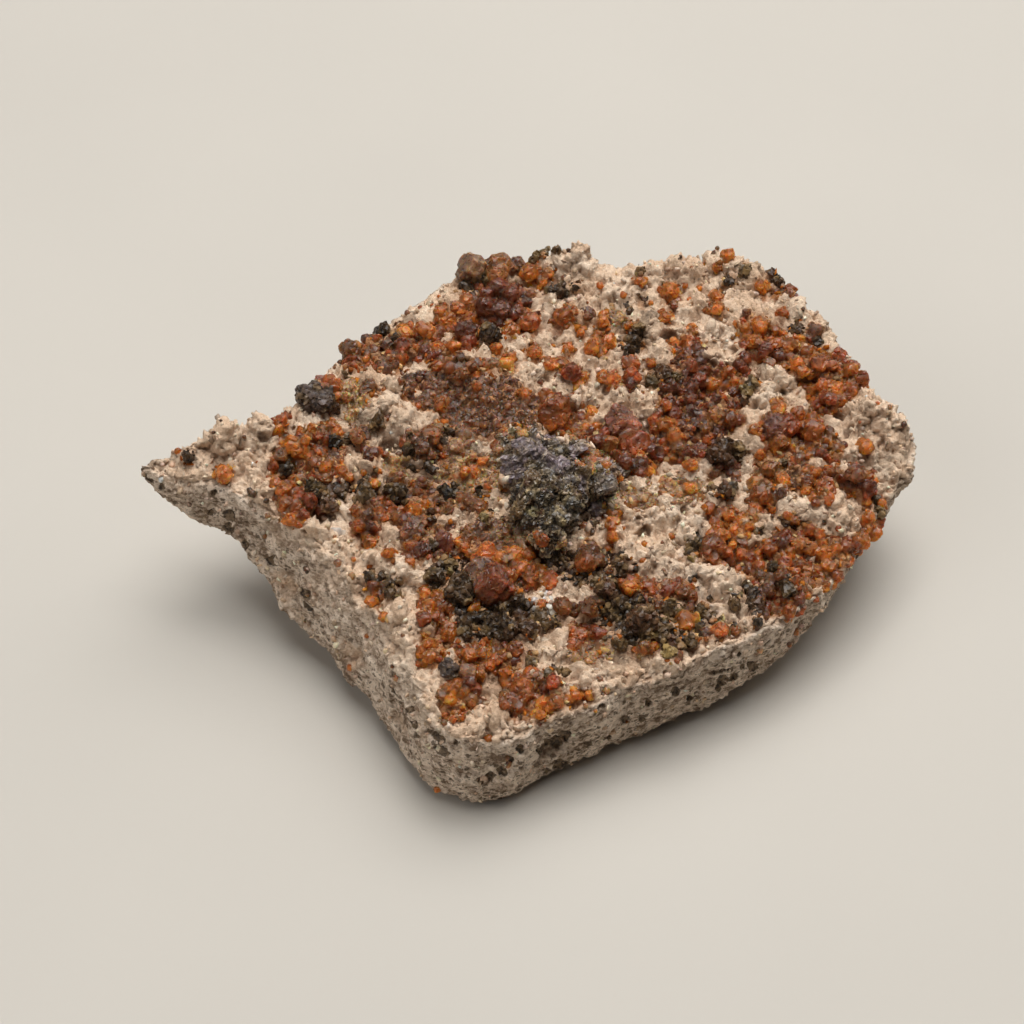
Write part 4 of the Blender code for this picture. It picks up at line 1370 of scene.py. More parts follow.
# Single crystals, lumps and pits, painted over the areas.
SPOTS: dict[Kind, tuple[Spot, ...]] = {
    Kind.AMBER: (
        (224, 474, 7), (436, 347, 5), (453, 346, 6), (497, 348, 6), (507, 364, 7), (485, 367, 5),
        (596, 343, 6), (534, 352, 7), (553, 365, 6), (581, 332, 4), (603, 322, 6), (651, 363, 5),
        (675, 343, 5), (640, 282, 6), (728, 255, 6), (717, 267, 5), (716, 297, 6), (717, 310, 6),
        (665, 317, 5), (778, 407, 7), (755, 429, 5), (761, 455, 5), (395, 499, 3), (388, 553, 5),
        (440, 404, 6), (475, 470, 5), (487, 487, 4), (465, 472, 5), (482, 462, 5), (690, 488, 6),
        (690, 420, 3), (748, 527, 5), (788, 516, 5), (543, 703, 6), (556, 702, 6), (567, 700, 5),
        (577, 696, 5), (590, 696, 4), (549, 709, 5), (866, 448, 6), (830, 441, 4), (808, 456, 4),
        (343, 471, 5), (629, 325, 4), (692, 326, 4), (384, 617, 4), (373, 602, 5), (425, 592, 5),
        (541, 604, 4), (366, 359, 3), (351, 348, 4), (458, 542, 4), (413, 484, 4), (350, 478, 4)),
    Kind.ORANGE: (
        (598, 340, 7), (292, 446, 8), (305, 441, 5), (275, 484, 5), (283, 490, 7), (440, 312, 7),
        (450, 318, 6), (512, 331, 7), (475, 309, 5), (427, 331, 8), (404, 333, 8), (530, 273, 9),
        (548, 275, 5), (542, 283, 4), (568, 348, 5), (583, 376, 5), (612, 380, 7), (602, 378, 5),
        (477, 387, 5), (523, 392, 5), (545, 394, 6), (577, 428, 4), (586, 428, 5), (592, 411, 5),
        (760, 285, 5), (763, 291, 4), (673, 287, 5), (760, 327, 7), (745, 328, 5), (790, 346, 8),
        (755, 343, 8), (775, 331, 6), (800, 339, 5), (850, 370, 7), (840, 366, 5), (862, 378, 6),
        (812, 390, 5), (781, 449, 6), (812, 418, 6), (836, 450, 7), (806, 490, 5), (815, 502, 4),
        (868, 503, 4), (873, 531, 8), (869, 517, 6), (882, 503, 5), (375, 483, 5), (370, 541, 6),
        (415, 510, 6), (425, 505, 5), (515, 556, 8), (530, 554, 7), (500, 557, 6), (613, 515, 7),
        (670, 292, 8), (612, 536, 5), (608, 549, 4), (598, 334, 5), (590, 345, 5), (604, 352, 4),
        (596, 426, 5), (650, 472, 5), (690, 465, 6), (668, 425, 8), (675, 437, 8), (655, 430, 5),
        (730, 515, 6), (725, 535, 5), (733, 545, 4), (810, 549, 7), (800, 545, 6), (790, 552, 5),
        (825, 553, 7), (835, 550, 6), (827, 566, 6), (822, 577, 4), (808, 595, 4), (430, 605, 6),
        (438, 598, 7), (430, 645, 7), (430, 657, 6), (470, 655, 6), (482, 652, 5), (458, 704, 7),
        (463, 693, 6), (450, 700, 5), (446, 716, 4), (505, 683, 5), (505, 673, 5), (527, 685, 6),
        (540, 715, 4), (690, 619, 5), (410, 563, 5), (470, 553, 4)),
    Kind.RUST: (
        (280, 422, 7), (300, 452, 7), (318, 437, 5), (322, 429, 5), (315, 465, 7), (325, 467, 5),
        (285, 505, 7), (295, 508, 8), (290, 520, 6), (303, 515, 5), (334, 388, 6), (352, 365, 5),
        (388, 353, 4), (420, 337, 5), (403, 345, 7), (438, 366, 6), (450, 368, 6), (530, 322, 9),
        (566, 316, 9), (560, 322, 6), (575, 372, 6), (687, 340, 5), (690, 347, 6), (686, 355, 7),
        (783, 313, 5), (775, 345, 8), (797, 365, 6), (803, 372, 6), (820, 364, 9), (832, 366, 6),
        (815, 372, 6), (822, 385, 6), (828, 397, 7), (832, 406, 7), (817, 405, 5), (853, 390, 5),
        (813, 430, 10), (808, 438, 5), (768, 469, 8), (765, 485, 6), (755, 507, 6), (825, 487, 10),
        (815, 472, 6), (830, 473, 5), (807, 482, 6), (728, 372, 6), (712, 384, 6), (735, 381, 5),
        (730, 418, 7), (715, 415, 8), (678, 447, 8), (667, 450, 5), (665, 405, 6), (622, 470, 6),
        (555, 411, 14), (566, 425, 6), (360, 525, 7), (390, 508, 6), (396, 516, 5), (411, 546, 5),
        (447, 607, 8), (475, 608, 6), (487, 553, 9), (465, 548, 5), (520, 570, 7), (530, 578, 7),
        (540, 572, 6), (510, 575, 6), (435, 617, 5), (445, 625, 5), (440, 633, 4), (612, 528, 4),
        (580, 634, 6), (590, 636, 5), (573, 632, 5), (650, 588, 7), (629, 588, 8), (657, 590, 5),
        (683, 592, 6), (692, 597, 5), (645, 648, 6), (655, 645, 5), (635, 650, 4), (713, 547, 12),
        (725, 552, 7), (740, 555, 6), (750, 557, 5), (770, 550, 6), (760, 565, 6), (800, 565, 6),
        (808, 572, 5), (795, 572, 5), (845, 547, 6), (872, 520, 6), (795, 520, 4), (810, 530, 5),
        (790, 611, 7), (768, 606, 5), (455, 690, 6), (470, 700, 6), (475, 690, 5), (512, 700, 6),
        (520, 708, 5), (505, 705, 5), (495, 660, 5), (490, 665, 5), (515, 650, 7), (505, 645, 5),
        (532, 654, 4), (480, 675, 5)),
    Kind.WINE: (
        (465, 330, 9), (468, 342, 8), (425, 352, 6), (435, 355, 5), (487, 293, 7), (500, 290, 11),
        (512, 293, 8), (485, 307, 9), (501, 310, 10), (515, 314, 7), (492, 318, 6), (631, 384, 6),
        (697, 346, 5), (690, 366, 7), (705, 371, 7), (700, 379, 7), (690, 389, 8), (690, 400, 6),
        (740, 366, 7), (745, 357, 6), (765, 350, 7), (780, 356, 6), (672, 388, 6), (625, 462, 8),
        (640, 465, 7), (651, 450, 6), (868, 488, 9), (785, 535, 7), (783, 543, 5), (422, 550, 8),
        (372, 453, 6), (372, 527, 5), (730, 464, 6), (720, 466, 5), (600, 633, 5), (597, 440, 6),
        (604, 432, 5), (590, 432, 5), (310, 500, 7), (322, 508, 7), (302, 506, 6), (553, 683, 6),
        (545, 688, 5), (470, 683, 6), (515, 660, 5), (667, 592, 6), (740, 420, 5)),
    Kind.PLUM: (
        (793, 422, 6), (325, 383, 6), (350, 357, 6), (443, 541, 9)),
    Kind.BROWN: (
        (430, 436, 9), (423, 447, 7), (438, 429, 6), (358, 436, 8), (478, 508, 8), (469, 500, 6),
        (676, 655, 5), (386, 345, 6), (375, 350, 5), (395, 365, 5), (460, 358, 5), (470, 367, 6),
        (462, 373, 6), (587, 317, 4), (530, 295, 5), (672, 295, 5), (673, 304, 4), (777, 292, 5),
        (790, 293, 5), (747, 314, 5), (815, 330, 6), (850, 485, 6), (855, 474, 8), (800, 457, 5),
        (785, 490, 4), (705, 430, 5), (690, 411, 5), (422, 482, 6), (432, 492, 5), (418, 492, 5),
        (425, 450, 6), (432, 455, 4), (415, 440, 4), (335, 452, 4), (560, 605, 6), (568, 609, 7),
        (590, 608, 8), (600, 600, 5), (585, 563, 8), (597, 560, 6), (610, 572, 4), (767, 590, 8),
        (760, 598, 5), (780, 575, 6), (770, 578, 5), (760, 575, 5), (720, 630, 7), (705, 633, 6),
        (735, 630, 4), (690, 607, 5), (495, 535, 7), (485, 540, 6), (500, 545, 6), (505, 532, 5),
        (470, 530, 6), (715, 473, 5), (735, 475, 4), (660, 605, 5), (370, 388, 7), (368, 515, 6),
        (375, 587, 7), (590, 554, 9)),
    Kind.OCHRE: (
        (352, 412, 7), (362, 400, 7), (345, 398, 6), (352, 386, 6), (592, 655, 8), (606, 650, 7),
        (575, 655, 7), (620, 320, 7), (610, 312, 5), (524, 554, 11), (530, 560, 8), (505, 560, 6),
        (640, 650, 6), (745, 525, 5)),
    Kind.OLIVE: (
        (538, 256, 5), (718, 628, 9), (670, 651, 7), (670, 607, 6), (700, 612, 6), (660, 640, 5),
        (692, 640, 6), (735, 605, 5), (556, 248, 4), (382, 331, 7), (346, 376, 4), (665, 372, 7),
        (652, 381, 6), (676, 375, 5), (745, 271, 6), (730, 281, 6), (817, 343, 5), (798, 328, 6),
        (752, 383, 6), (745, 390, 5), (785, 462, 4), (345, 440, 5), (380, 422, 6), (398, 580, 4),
        (392, 594, 6), (404, 503, 4), (430, 512, 4), (450, 566, 6), (443, 561, 4), (485, 516, 5),
        (432, 547, 4), (514, 599, 7), (507, 608, 5), (540, 616, 6), (548, 622, 5), (605, 590, 8),
        (612, 583, 5), (675, 607, 8), (665, 612, 5), (663, 630, 6), (645, 640, 6), (620, 643, 6),
        (652, 633, 5), (700, 612, 5), (710, 615, 5), (530, 663, 5), (548, 672, 5), (565, 672, 4),
        (745, 590, 4), (765, 583, 4), (790, 590, 6), (785, 582, 5), (773, 567, 6), (738, 600, 4),
        (880, 512, 5), (875, 503, 4), (690, 553, 6), (590, 525, 5), (363, 500, 7), (712, 488, 4),
        (640, 272, 4)),
    Kind.DARK: (
        (526, 628, 9), (512, 634, 7), (187, 456, 6), (285, 469, 6), (393, 341, 4), (467, 288, 8),
        (465, 277, 5), (484, 278, 4), (490, 333, 8), (560, 290, 5), (550, 290, 4), (575, 287, 4),
        (635, 341, 8), (630, 350, 6), (640, 328, 6), (643, 299, 4), (628, 307, 4), (772, 273, 5),
        (780, 283, 5), (670, 387, 6), (745, 400, 5), (313, 487, 7), (330, 489, 6), (341, 489, 7),
        (363, 487, 7), (397, 491, 9), (330, 503, 8), (318, 501, 6), (377, 470, 3), (412, 468, 5),
        (430, 468, 6), (447, 493, 8), (455, 487, 4), (480, 494, 5), (433, 518, 4), (371, 577, 6),
        (390, 583, 5), (380, 580, 4), (434, 576, 7), (430, 582, 4), (457, 590, 12), (490, 512, 3),
        (697, 543, 7), (785, 523, 5), (760, 530, 4), (754, 593, 6), (757, 606, 7), (750, 600, 4),
        (758, 622, 4), (735, 625, 4), (620, 608, 10), (633, 604, 7), (612, 618, 6), (640, 620, 8),
        (628, 632, 7), (651, 622, 6), (640, 605, 5), (590, 570, 5), (580, 557, 6), (600, 553, 4),
        (620, 568, 6), (555, 560, 8), (565, 566, 5), (548, 552, 5), (475, 620, 8), (490, 622, 8),
        (505, 622, 7), (520, 620, 8), (535, 627, 6), (463, 624, 6), (481, 611, 6), (496, 607, 5),
        (515, 632, 5), (500, 635, 6), (485, 636, 5), (465, 635, 5), (675, 645, 7), (665, 590, 4),
        (690, 580, 3), (710, 598, 3), (723, 492, 6), (731, 488, 6), (355, 438, 6), (335, 441, 6),
        (410, 451, 6), (445, 441, 5), (450, 432, 5), (410, 436, 4), (520, 716, 3)),
    Kind.SILVER: (
        (336, 531, 6), (343, 533, 5), (541, 595, 4), (547, 595, 5), (552, 599, 5), (556, 604, 4),
        (554, 610, 5), (548, 613, 4), (541, 613, 4), (535, 609, 3), (535, 600, 4), (545, 599, 3),
        (555, 605, 4), (553, 611, 4), (536, 607, 3), (540, 613, 3), (548, 615, 3), (550, 606, 4),
        (632, 568, 3), (582, 410, 3), (551, 491, 4)),
    Kind.CREAM: (
        (222, 437, 17), (250, 440, 8), (263, 428, 11), (275, 443, 7), (245, 456, 7), (262, 462, 7),
        (255, 475, 8), (268, 488, 7), (205, 460, 8), (300, 412, 8), (313, 527, 9), (328, 524, 7),
        (425, 315, 9), (408, 310, 7), (447, 337, 6), (432, 306, 5), (468, 353, 8), (485, 350, 7),
        (503, 343, 4), (413, 366, 5), (417, 390, 5), (405, 387, 4), (370, 374, 6), (388, 388, 8),
        (390, 403, 11), (374, 412, 7), (410, 407, 7), (405, 418, 7), (362, 411, 5), (436, 415, 4),
        (417, 420, 3), (403, 428, 7), (350, 461, 6), (365, 470, 6), (382, 475, 6), (333, 480, 5),
        (343, 479, 4), (420, 463, 3), (424, 477, 4), (404, 478, 3), (562, 258, 9), (580, 257, 9),
        (592, 270, 10), (603, 268, 9), (613, 265, 7), (628, 268, 7), (535, 300, 5), (545, 290, 6),
        (553, 297, 5), (545, 310, 8), (560, 303, 6), (588, 302, 9), (592, 284, 8), (610, 290, 8),
        (622, 292, 7), (568, 335, 7), (525, 335, 5), (540, 340, 7), (552, 350, 7), (520, 345, 4),
        (530, 364, 5), (542, 369, 7), (555, 380, 6), (545, 386, 6), (563, 388, 6), (592, 366, 7),
        (590, 392, 9), (576, 399, 6), (655, 262, 8), (675, 262, 9), (695, 268, 9), (712, 258, 9),
        (740, 262, 9), (650, 293, 7), (635, 290, 6), (652, 325, 12), (660, 340, 6), (680, 306, 5),
        (690, 309, 7), (700, 300, 8), (712, 285, 8), (745, 300, 11), (730, 290, 5), (755, 270, 6),
        (795, 307, 10), (785, 300, 5), (790, 335, 5), (712, 324, 6), (704, 333, 4), (712, 340, 4),
        (726, 338, 4), (735, 343, 4), (741, 351, 6), (731, 358, 6), (717, 359, 5), (706, 354, 4),
        (655, 350, 6), (669, 356, 6), (765, 367, 7), (780, 374, 7), (792, 382, 8), (800, 391, 7),
        (770, 388, 6), (790, 371, 3), (755, 396, 5), (807, 345, 4), (832, 341, 10), (846, 353, 7),
        (868, 391, 6), (852, 408, 5), (871, 406, 10), (888, 410, 9), (900, 420, 8), (882, 426, 9),
        (895, 440, 10), (902, 457, 9), (875, 440, 6), (890, 470, 8), (880, 487, 6), (833, 424, 9),
        (840, 433, 4), (802, 448, 5), (818, 446, 4), (850, 455, 6), (816, 463, 7), (845, 470, 5),
        (793, 441, 5), (800, 404, 9), (789, 413, 4), (780, 488, 4), (800, 484, 3), (785, 503, 9),
        (800, 502, 8), (838, 497, 9), (430, 628, 6), (632, 418, 4), (640, 431, 4), (382, 485, 6),
        (334, 486, 5), (620, 503, 7), (628, 512, 6), (454, 534, 8), (462, 524, 5), (718, 484, 7),
        (850, 504, 8), (845, 516, 8), (857, 525, 6), (353, 504, 3), (346, 513, 4), (390, 526, 5),
        (390, 537, 7), (372, 552, 9), (405, 570, 9), (420, 576, 8), (431, 562, 5), (455, 515, 7),
        (444, 518, 5), (472, 513, 4), (460, 526, 4), (395, 612, 11), (410, 602, 6), (372, 613, 5),
        (433, 536, 4), (441, 531, 4), (450, 533, 4), (530, 385, 5), (550, 387, 6), (600, 413, 7),
        (608, 406, 5), (622, 396, 8), (637, 398, 7), (648, 411, 7), (642, 431, 4), (651, 435, 4),
        (620, 481, 5), (640, 482, 8), (655, 478, 6), (655, 518, 10), (640, 518, 7), (630, 548, 10),
        (622, 530, 5), (757, 443, 7), (745, 440, 6), (752, 422, 4), (665, 463, 4), (682, 466, 3),
        (690, 475, 5), (675, 475, 5), (718, 482, 4), (728, 480, 4), (738, 485, 3), (708, 495, 3),
        (665, 500, 8), (655, 489, 6), (672, 513, 7), (698, 515, 9), (705, 527, 8), (690, 533, 7),
        (666, 545, 10), (652, 555, 6), (680, 552, 4), (750, 540, 6), (762, 400, 6), (771, 409, 5),
        (745, 410, 5), (725, 393, 5), (405, 640, 9), (413, 655, 8), (423, 675, 8), (436, 684, 5),
        (450, 651, 5), (462, 648, 4), (488, 690, 6), (492, 702, 6), (481, 712, 6), (497, 725, 8),
        (509, 733, 7), (522, 724, 6), (470, 717, 4), (545, 645, 8), (560, 634, 7), (570, 620, 5),
        (532, 672, 4), (577, 665, 6), (585, 680, 9), (598, 685, 7), (625, 666, 6), (640, 668, 5),
        (655, 662, 5), (612, 688, 5), (553, 592, 4), (546, 584, 4), (584, 590, 6), (670, 563, 9),
        (660, 573, 6), (690, 570, 7), (705, 571, 8), (720, 573, 8), (735, 577, 7), (725, 586, 6),
        (713, 590, 5), (718, 604, 4), (733, 594, 4), (745, 608, 5), (735, 615, 4), (812, 557, 5),
        (816, 565, 4), (810, 584, 6), (820, 590, 6), (806, 603, 5), (840, 530, 6), (828, 535, 5)),
    Kind.PIT: (
        (263, 438, 5), (322, 513, 7), (332, 518, 5), (309, 512, 4), (411, 358, 5), (497, 378, 4),
        (390, 444, 8), (402, 447, 5), (555, 333, 4), (597, 356, 4), (606, 390, 4), (670, 334, 5),
        (721, 330, 3), (712, 364, 4), (788, 473, 6), (798, 472, 5), (646, 530, 5), (640, 533, 4),
        (685, 508, 4), (680, 541, 3), (650, 425, 3), (730, 347, 3), (755, 403, 4), (533, 541, 8),
        (545, 545, 6), (585, 515, 5), (393, 562, 3), (512, 712, 4), (746, 579, 4), (838, 414, 4),
        (848, 427, 5), (845, 460, 3), (572, 612, 3), (640, 520, 5), (785, 391, 5)),
}


@dataclass(frozen=True)
class Hero:
    """A large crystal, listed one by one.

    Its place is in pixels, and its size and its rise above the rock in millimetres. Two neighbouring faces
    look along the two ways that are given. Stretch is along its own axes.
    """

    u: float
    v: float
    radius: float
    rise: float
    tint: Tint
    form: Form = Form.DODECAHEDRON
    faces: tuple[Triple, Triple] = ((0.0, -0.45, 0.89), (0.5, -0.85, 0.1))
    stretch: Triple = (1.0, 1.0, 1.0)


def turned(faces: tuple[Triple, Triple]) -> Matrix:
    """The rotation that brings two neighbouring faces of a form to look along two ways.

    Args:
        faces: the two ways.

    Returns:
        The rotation.
    """
    frames = []
    for first, second in (((0, -1, 1), (1, -1, 0)), faces):
        along = Vector(first).normalized()
        across = along.cross(Vector(second)).normalized()
        frames.append(Matrix((along, across, along.cross(across))).transposed())
    return frames[1] @ frames[0].transposed()


# Ways that the faces of the large crystals look.
LEFT_UP = ((-0.45, -0.40, 0.80), (0.40, -0.85, 0.35))
RIGHT_UP = ((0.45, -0.50, 0.74), (-0.45, -0.85, 0.25))
LEVEL = ((0.0, 0.0, 1.0), (0.3, -0.9, 0.2))
HEROES = (
    # The plum crystals on the tops of the tall garnet at 620, 424 and of the big one at 774, 427 stand for
    # painted reflection of the top light, over red crystals below them; the orange one at 779, 443 is a
    # painted glow on the big garnet's lower side.
    Hero(620, 424, 2.0, 0.6, Tint.PLUM, faces=LEFT_UP, stretch=(1.0, 1.0, 1.1)),
    Hero(634, 446, 2.0, 0.3, Tint.RED, faces=((0.3, -0.55, 0.78), (0.6, -0.8, -0.1))),
    Hero(619, 451, 1.3, 0.1, Tint.WINE, faces=LEFT_UP),
    Hero(490, 584, 2.3, 0.4, Tint.LIVER, faces=((-0.5, -0.15, 0.85), (0.15, -0.92, 0.36))),
    Hero(478, 572, 1.6, 0.8, Tint.MAUVE, faces=LEFT_UP),
    Hero(774, 427, 1.5, 0.5, Tint.PLUM, faces=LEFT_UP),
    Hero(788, 425, 1.4, 0.4, Tint.RED, faces=((0.1, -0.5, 0.86), (0.7, -0.7, 0.1))),
    Hero(779, 443, 1.15, 0.5, Tint.ORANGE, faces=RIGHT_UP),
    Hero(522, 689, 1.5, 0.5, Tint.RUST, faces=RIGHT_UP),
    Hero(472, 267, 1.65, 0.0, Tint.FAWN, Form.DODECAHEDRON, LEFT_UP, (1.1, 1.0, 1.0)),
    Hero(499, 269, 2.05, 0.0, Tint.UMBER, Form.DODECAHEDRON, RIGHT_UP, (1.0, 1.1, 1.0)),
    Hero(485, 272, 1.5, -0.2, Tint.FAWN, Form.DODECAHEDRON, LEVEL),
    Hero(518, 264, 1.0, 0.0, Tint.MAUVE, faces=RIGHT_UP),
    Hero(632, 364, 1.1, 0.4, Tint.RUST, faces=LEFT_UP),
    Hero(633, 377, 1.15, 0.4, Tint.RED, faces=RIGHT_UP),
    Hero(560, 366, 1.2, 0.5, Tint.ORANGE, faces=LEFT_UP),
    Hero(572, 371, 1.1, 0.4, Tint.WINE, faces=RIGHT_UP),
    Hero(608, 342, 1.0, 0.5, Tint.AMBER, faces=LEVEL),
    Hero(414, 531, 1.5, 0.4, Tint.MAUVE, faces=LEFT_UP),
    Hero(407, 521, 1.0, 0.4, Tint.PLUM, faces=LEVEL),
    Hero(684, 622, 1.25, 0.4, Tint.ORANGE, Form.COMBINED, LEFT_UP),
    Hero(760, 496, 1.3, 0.4, Tint.RUST, faces=LEVEL),
    Hero(350, 349, 1.25, 0.4, Tint.UMBER, Form.COMBINED, LEFT_UP),
    Hero(331, 383, 1.1, 0.4, Tint.RUST, faces=RIGHT_UP),
    Hero(316, 399, 2.1, 0.4, Tint.SLATE, Form.ROUGH, LEVEL, (1.2, 0.9, 0.62)),
    Hero(328, 405, 1.4, 0.1, Tint.BARK, Form.ROUGH, LEVEL),
    Hero(719, 454, 1.7, 0.3, Tint.BARK, Form.ROUGH, LEVEL, (1.25, 0.8, 0.7)),
    Hero(736, 450, 1.0, 0.4, Tint.OLIVE, Form.ROUGH, LEVEL),
    Hero(729, 490, 0.95, 0.3, Tint.SLATE, Form.BLOCK, RIGHT_UP, (1.2, 0.8, 0.7)),
    Hero(449, 669, 1.3, 0.5, Tint.SLATE, Form.BLOCK, LEFT_UP, (1.1, 0.9, 0.8)),
    Hero(466, 672, 1.15, 0.4, Tint.MAUVE, Form.COMBINED, LEVEL),
    Hero(458, 686, 1.1, 0.3, Tint.RUST, Form.COMBINED, RIGHT_UP),
    Hero(517, 604, 1.3, 0.5, Tint.MOSS, Form.ROUGH, LEVEL),
    Hero(562, 606, 1.1, 0.4, Tint.UMBER, Form.COMBINED, RIGHT_UP),
    Hero(620, 608, 1.7, 0.5, Tint.MOSS, Form.ROUGH, LEVEL),
    Hero(641, 620, 1.6, 0.4, Tint.BARK, Form.ROUGH, LEVEL),
    Hero(606, 590, 1.2, 0.4, Tint.BARK, Form.ROUGH, LEVEL),
)

# Places where the bare rock is darkened with dark specks: partly dark grains, partly painted shade, as
# along the right and the front rims.
GRIME_AND_SHADE: tuple[Spot, ...] = (
    (598, 650, 15), (574, 652, 12), (622, 655, 12), (645, 657, 9), (358, 392, 12), (345, 412, 8),
    (310, 410, 9), (358, 420, 10), (622, 316, 12), (478, 440, 14), (430, 436, 16), (574, 580, 11),
    (600, 580, 14), (478, 628, 18), (526, 625, 20), (620, 612, 22), (670, 637, 18), (700, 625, 12),
    (744, 462, 8), (765, 364, 8), (595, 345, 5), (478, 505, 14), (750, 600, 12), (318, 504, 15),
    (690, 555, 6), (640, 335, 9), (646, 317, 12), (722, 470, 7), (598, 436, 12), (766, 532, 8),
    (886, 462, 9), (905, 452, 8), (400, 445, 9), (555, 560, 10), (470, 280, 8), (560, 290, 7),
    (735, 605, 10), (440, 575, 10), (500, 452, 7), (700, 445, 10), (380, 345, 8), (660, 378, 8),
)

# The larger dark pockets of the broken sides.
POCKETS: tuple[Spot, ...] = (
    (213, 494, 3), (258, 498, 4), (229, 516, 6), (228, 530, 6), (167, 477, 2.5), (182, 484, 2.5),
    (245, 545, 4), (160, 489, 3), (210, 512, 3), (455, 744, 3), (565, 737, 6), (554, 744, 8), (545, 751, 6),
    (562, 768, 8), (549, 775, 5), (502, 773, 5), (490, 777, 4), (480, 781, 3), (521, 751, 4), (510, 762, 4),
    (722, 681, 5), (735, 678, 4), (720, 690, 3), (662, 676, 2.5), (602, 706, 2.5), (676, 692, 4),
    (754, 668, 5), (744, 668, 3), (740, 655, 2.5), (626, 722, 3), (642, 720, 3), (300, 590, 2.5),
    (335, 573, 3), (360, 600, 2.5), (395, 665, 3), (392, 675, 3.5), (408, 710, 3), (412, 725, 3.5),
    (424, 733, 3), (440, 742, 2.5), (270, 560, 3), (352, 566, 4), (590, 745, 3), (610, 738, 3),
    (650, 705, 3), (690, 700, 3),
)


@dataclass(frozen=True)
class Home:
    """A node of the model that crystals stand for: its slot, and its outline or its one spot in pixels.

    A place that is within reach of the one spot belongs to it before it belongs to any outline.
    """

    REACH: ClassVar[float] = 15.0
    FIRST: ClassVar[float] = 100.0
    NEVER: ClassVar[float] = -1000.0

    name: str
    slot: str
    outline: tuple[Pixel, ...]

    def depth(self, u: float, v: float) -> float:
        """Measures how far a place is inside the node's outline.

        Args:
            u: the place's column.
            v: its row.

        Returns:
            The pixels to the outline, less than 0 outside it.
        """
        if len(self.outline) == 1:
            away = math.dist(self.outline[0], (u, v))
            return self.FIRST - away if away < self.REACH else self.NEVER
        return float(depth_inside(self.outline, np.array([u]), np.array([v]))[0])


HOMES = (
    Home("left_garnet_crust", "garnet_red", ((272, 426), (330, 418), (366, 446), (345, 510), (290, 524),
         (272, 444))),
    Home("upper_left_garnet_crust", "garnet_orange", ((344, 338), (413, 322), (488, 332), (494, 360),
         (413, 377), (356, 362))),
    Home("back_garnet_crust", "garnet_red", ((460, 304), (484, 286), (523, 283), (548, 318), (510, 342),
         (462, 332))),
    Home("crest_garnets", "garnet_red", ((462, 262), (498, 250), (540, 262), (536, 284), (470, 284))),
    Home("middle_garnet_crust", "garnet_orange", ((542, 352), (580, 350), (588, 376), (552, 386))),
    Home("layered_garnet_crust", "garnet_red", ((536, 398), (584, 396), (592, 420), (542, 430))),
    Home("valley_garnet_crust", "garnet_red", ((664, 361), (690, 343), (742, 372), (724, 440), (664, 466),
         (650, 440), (672, 403))),
    Home("right_rim_garnet_crust", "garnet_red", ((716, 318), (748, 306), (838, 343), (868, 372),
         (840, 402), (774, 360), (730, 330))),
    Home("right_garnet_crust", "garnet_red", ((742, 440), (800, 410), (874, 448), (856, 496),
         (748, 514))),
    Home("right_front_garnet_crust", "garnet_brown", ((701, 536), (800, 523), (874, 516), (852, 568),
         (797, 614), (752, 574))),
    Home("front_garnet_crust", "garnet_brown", ((430, 562), (514, 562), (572, 612), (520, 642),
         (440, 630))),
    Home("olive_garnet_knob", "olive_mineral", ((582, 600), (652, 578), (726, 616), (672, 654),
         (588, 634))),
    Home("corner_garnet_crust", "garnet_orange", ((440, 690), (484, 672), (548, 670), (600, 692),
         (524, 720), (452, 720))),
    Home("inner_garnet_crust", "garnet_brown", ((348, 502), (444, 510), (486, 526), (455, 556),
         (372, 536))),
    Home("brown_druse", "garnet_brown", ((397, 378), (444, 371), (530, 390), (538, 428), (476, 446),
         (413, 410))),
    Home("stained_druse", "garnet_orange", ((366, 432), (413, 430), (497, 446), (505, 471), (455, 512),
         (381, 492))),
    Home("lone_orange_garnet", "garnet_orange", ((224, 473),)),
    Home("left_rim_garnet", "olive_mineral", ((350, 349),)),
    Home("left_red_garnet", "garnet_red", ((331, 384),)),
    Home("glowing_orange_garnet", "garnet_orange", ((606, 342),)),
    Home("red_garnet", "garnet_red", ((632, 373),)),
    Home("tall_purple_garnet", "garnet_red", ((627, 434),)),
    Home("small_orange_garnet", "garnet_orange", ((778, 408),)),
    Home("right_edge_garnet", "garnet_brown", ((868, 490),)),
    Home("right_middle_garnet", "garnet_red", ((827, 487),)),
    Home("front_pair_garnet", "garnet_red", ((500, 655),)),
    Home("stained_edge_garnet", "garnet_orange", ((613, 516),)),
    Home("middle_brown_garnet", "garnet_brown", ((590, 554),)),
    Home("left_rim_dark_crystal", "dark_mineral", ((318, 401),)),
    Home("tip_dark_crystal", "olive_mineral", ((190, 454),)),
    Home("back_dark_crystal", "dark_mineral", ((552, 245),)),
    Home("back_right_dark_crystal", "dark_mineral", ((772, 270),)),
    Home("lamellar_dark_crystal", "olive_mineral", ((322, 493),)),
    Home("dark_grain_left", "dark_mineral", ((365, 485),)),
    Home("dark_lump", "olive_mineral", ((728, 457),)),
    Home("pale_rimmed_dark_crystal", "dark_mineral", ((724, 492),)),
    Home("glassy_dark_crystal", "dark_mineral", ((436, 573),)),
    Home("left_olive_crystal", "olive_mineral", ((375, 584),)),
    Home("corner_olive_crystal", "olive_mineral", ((453, 667),)),
    Home("right_front_dark_crystal", "dark_mineral", ((754, 610),)),
    Home("mica_flake", "mica", ((337, 532),)),
)


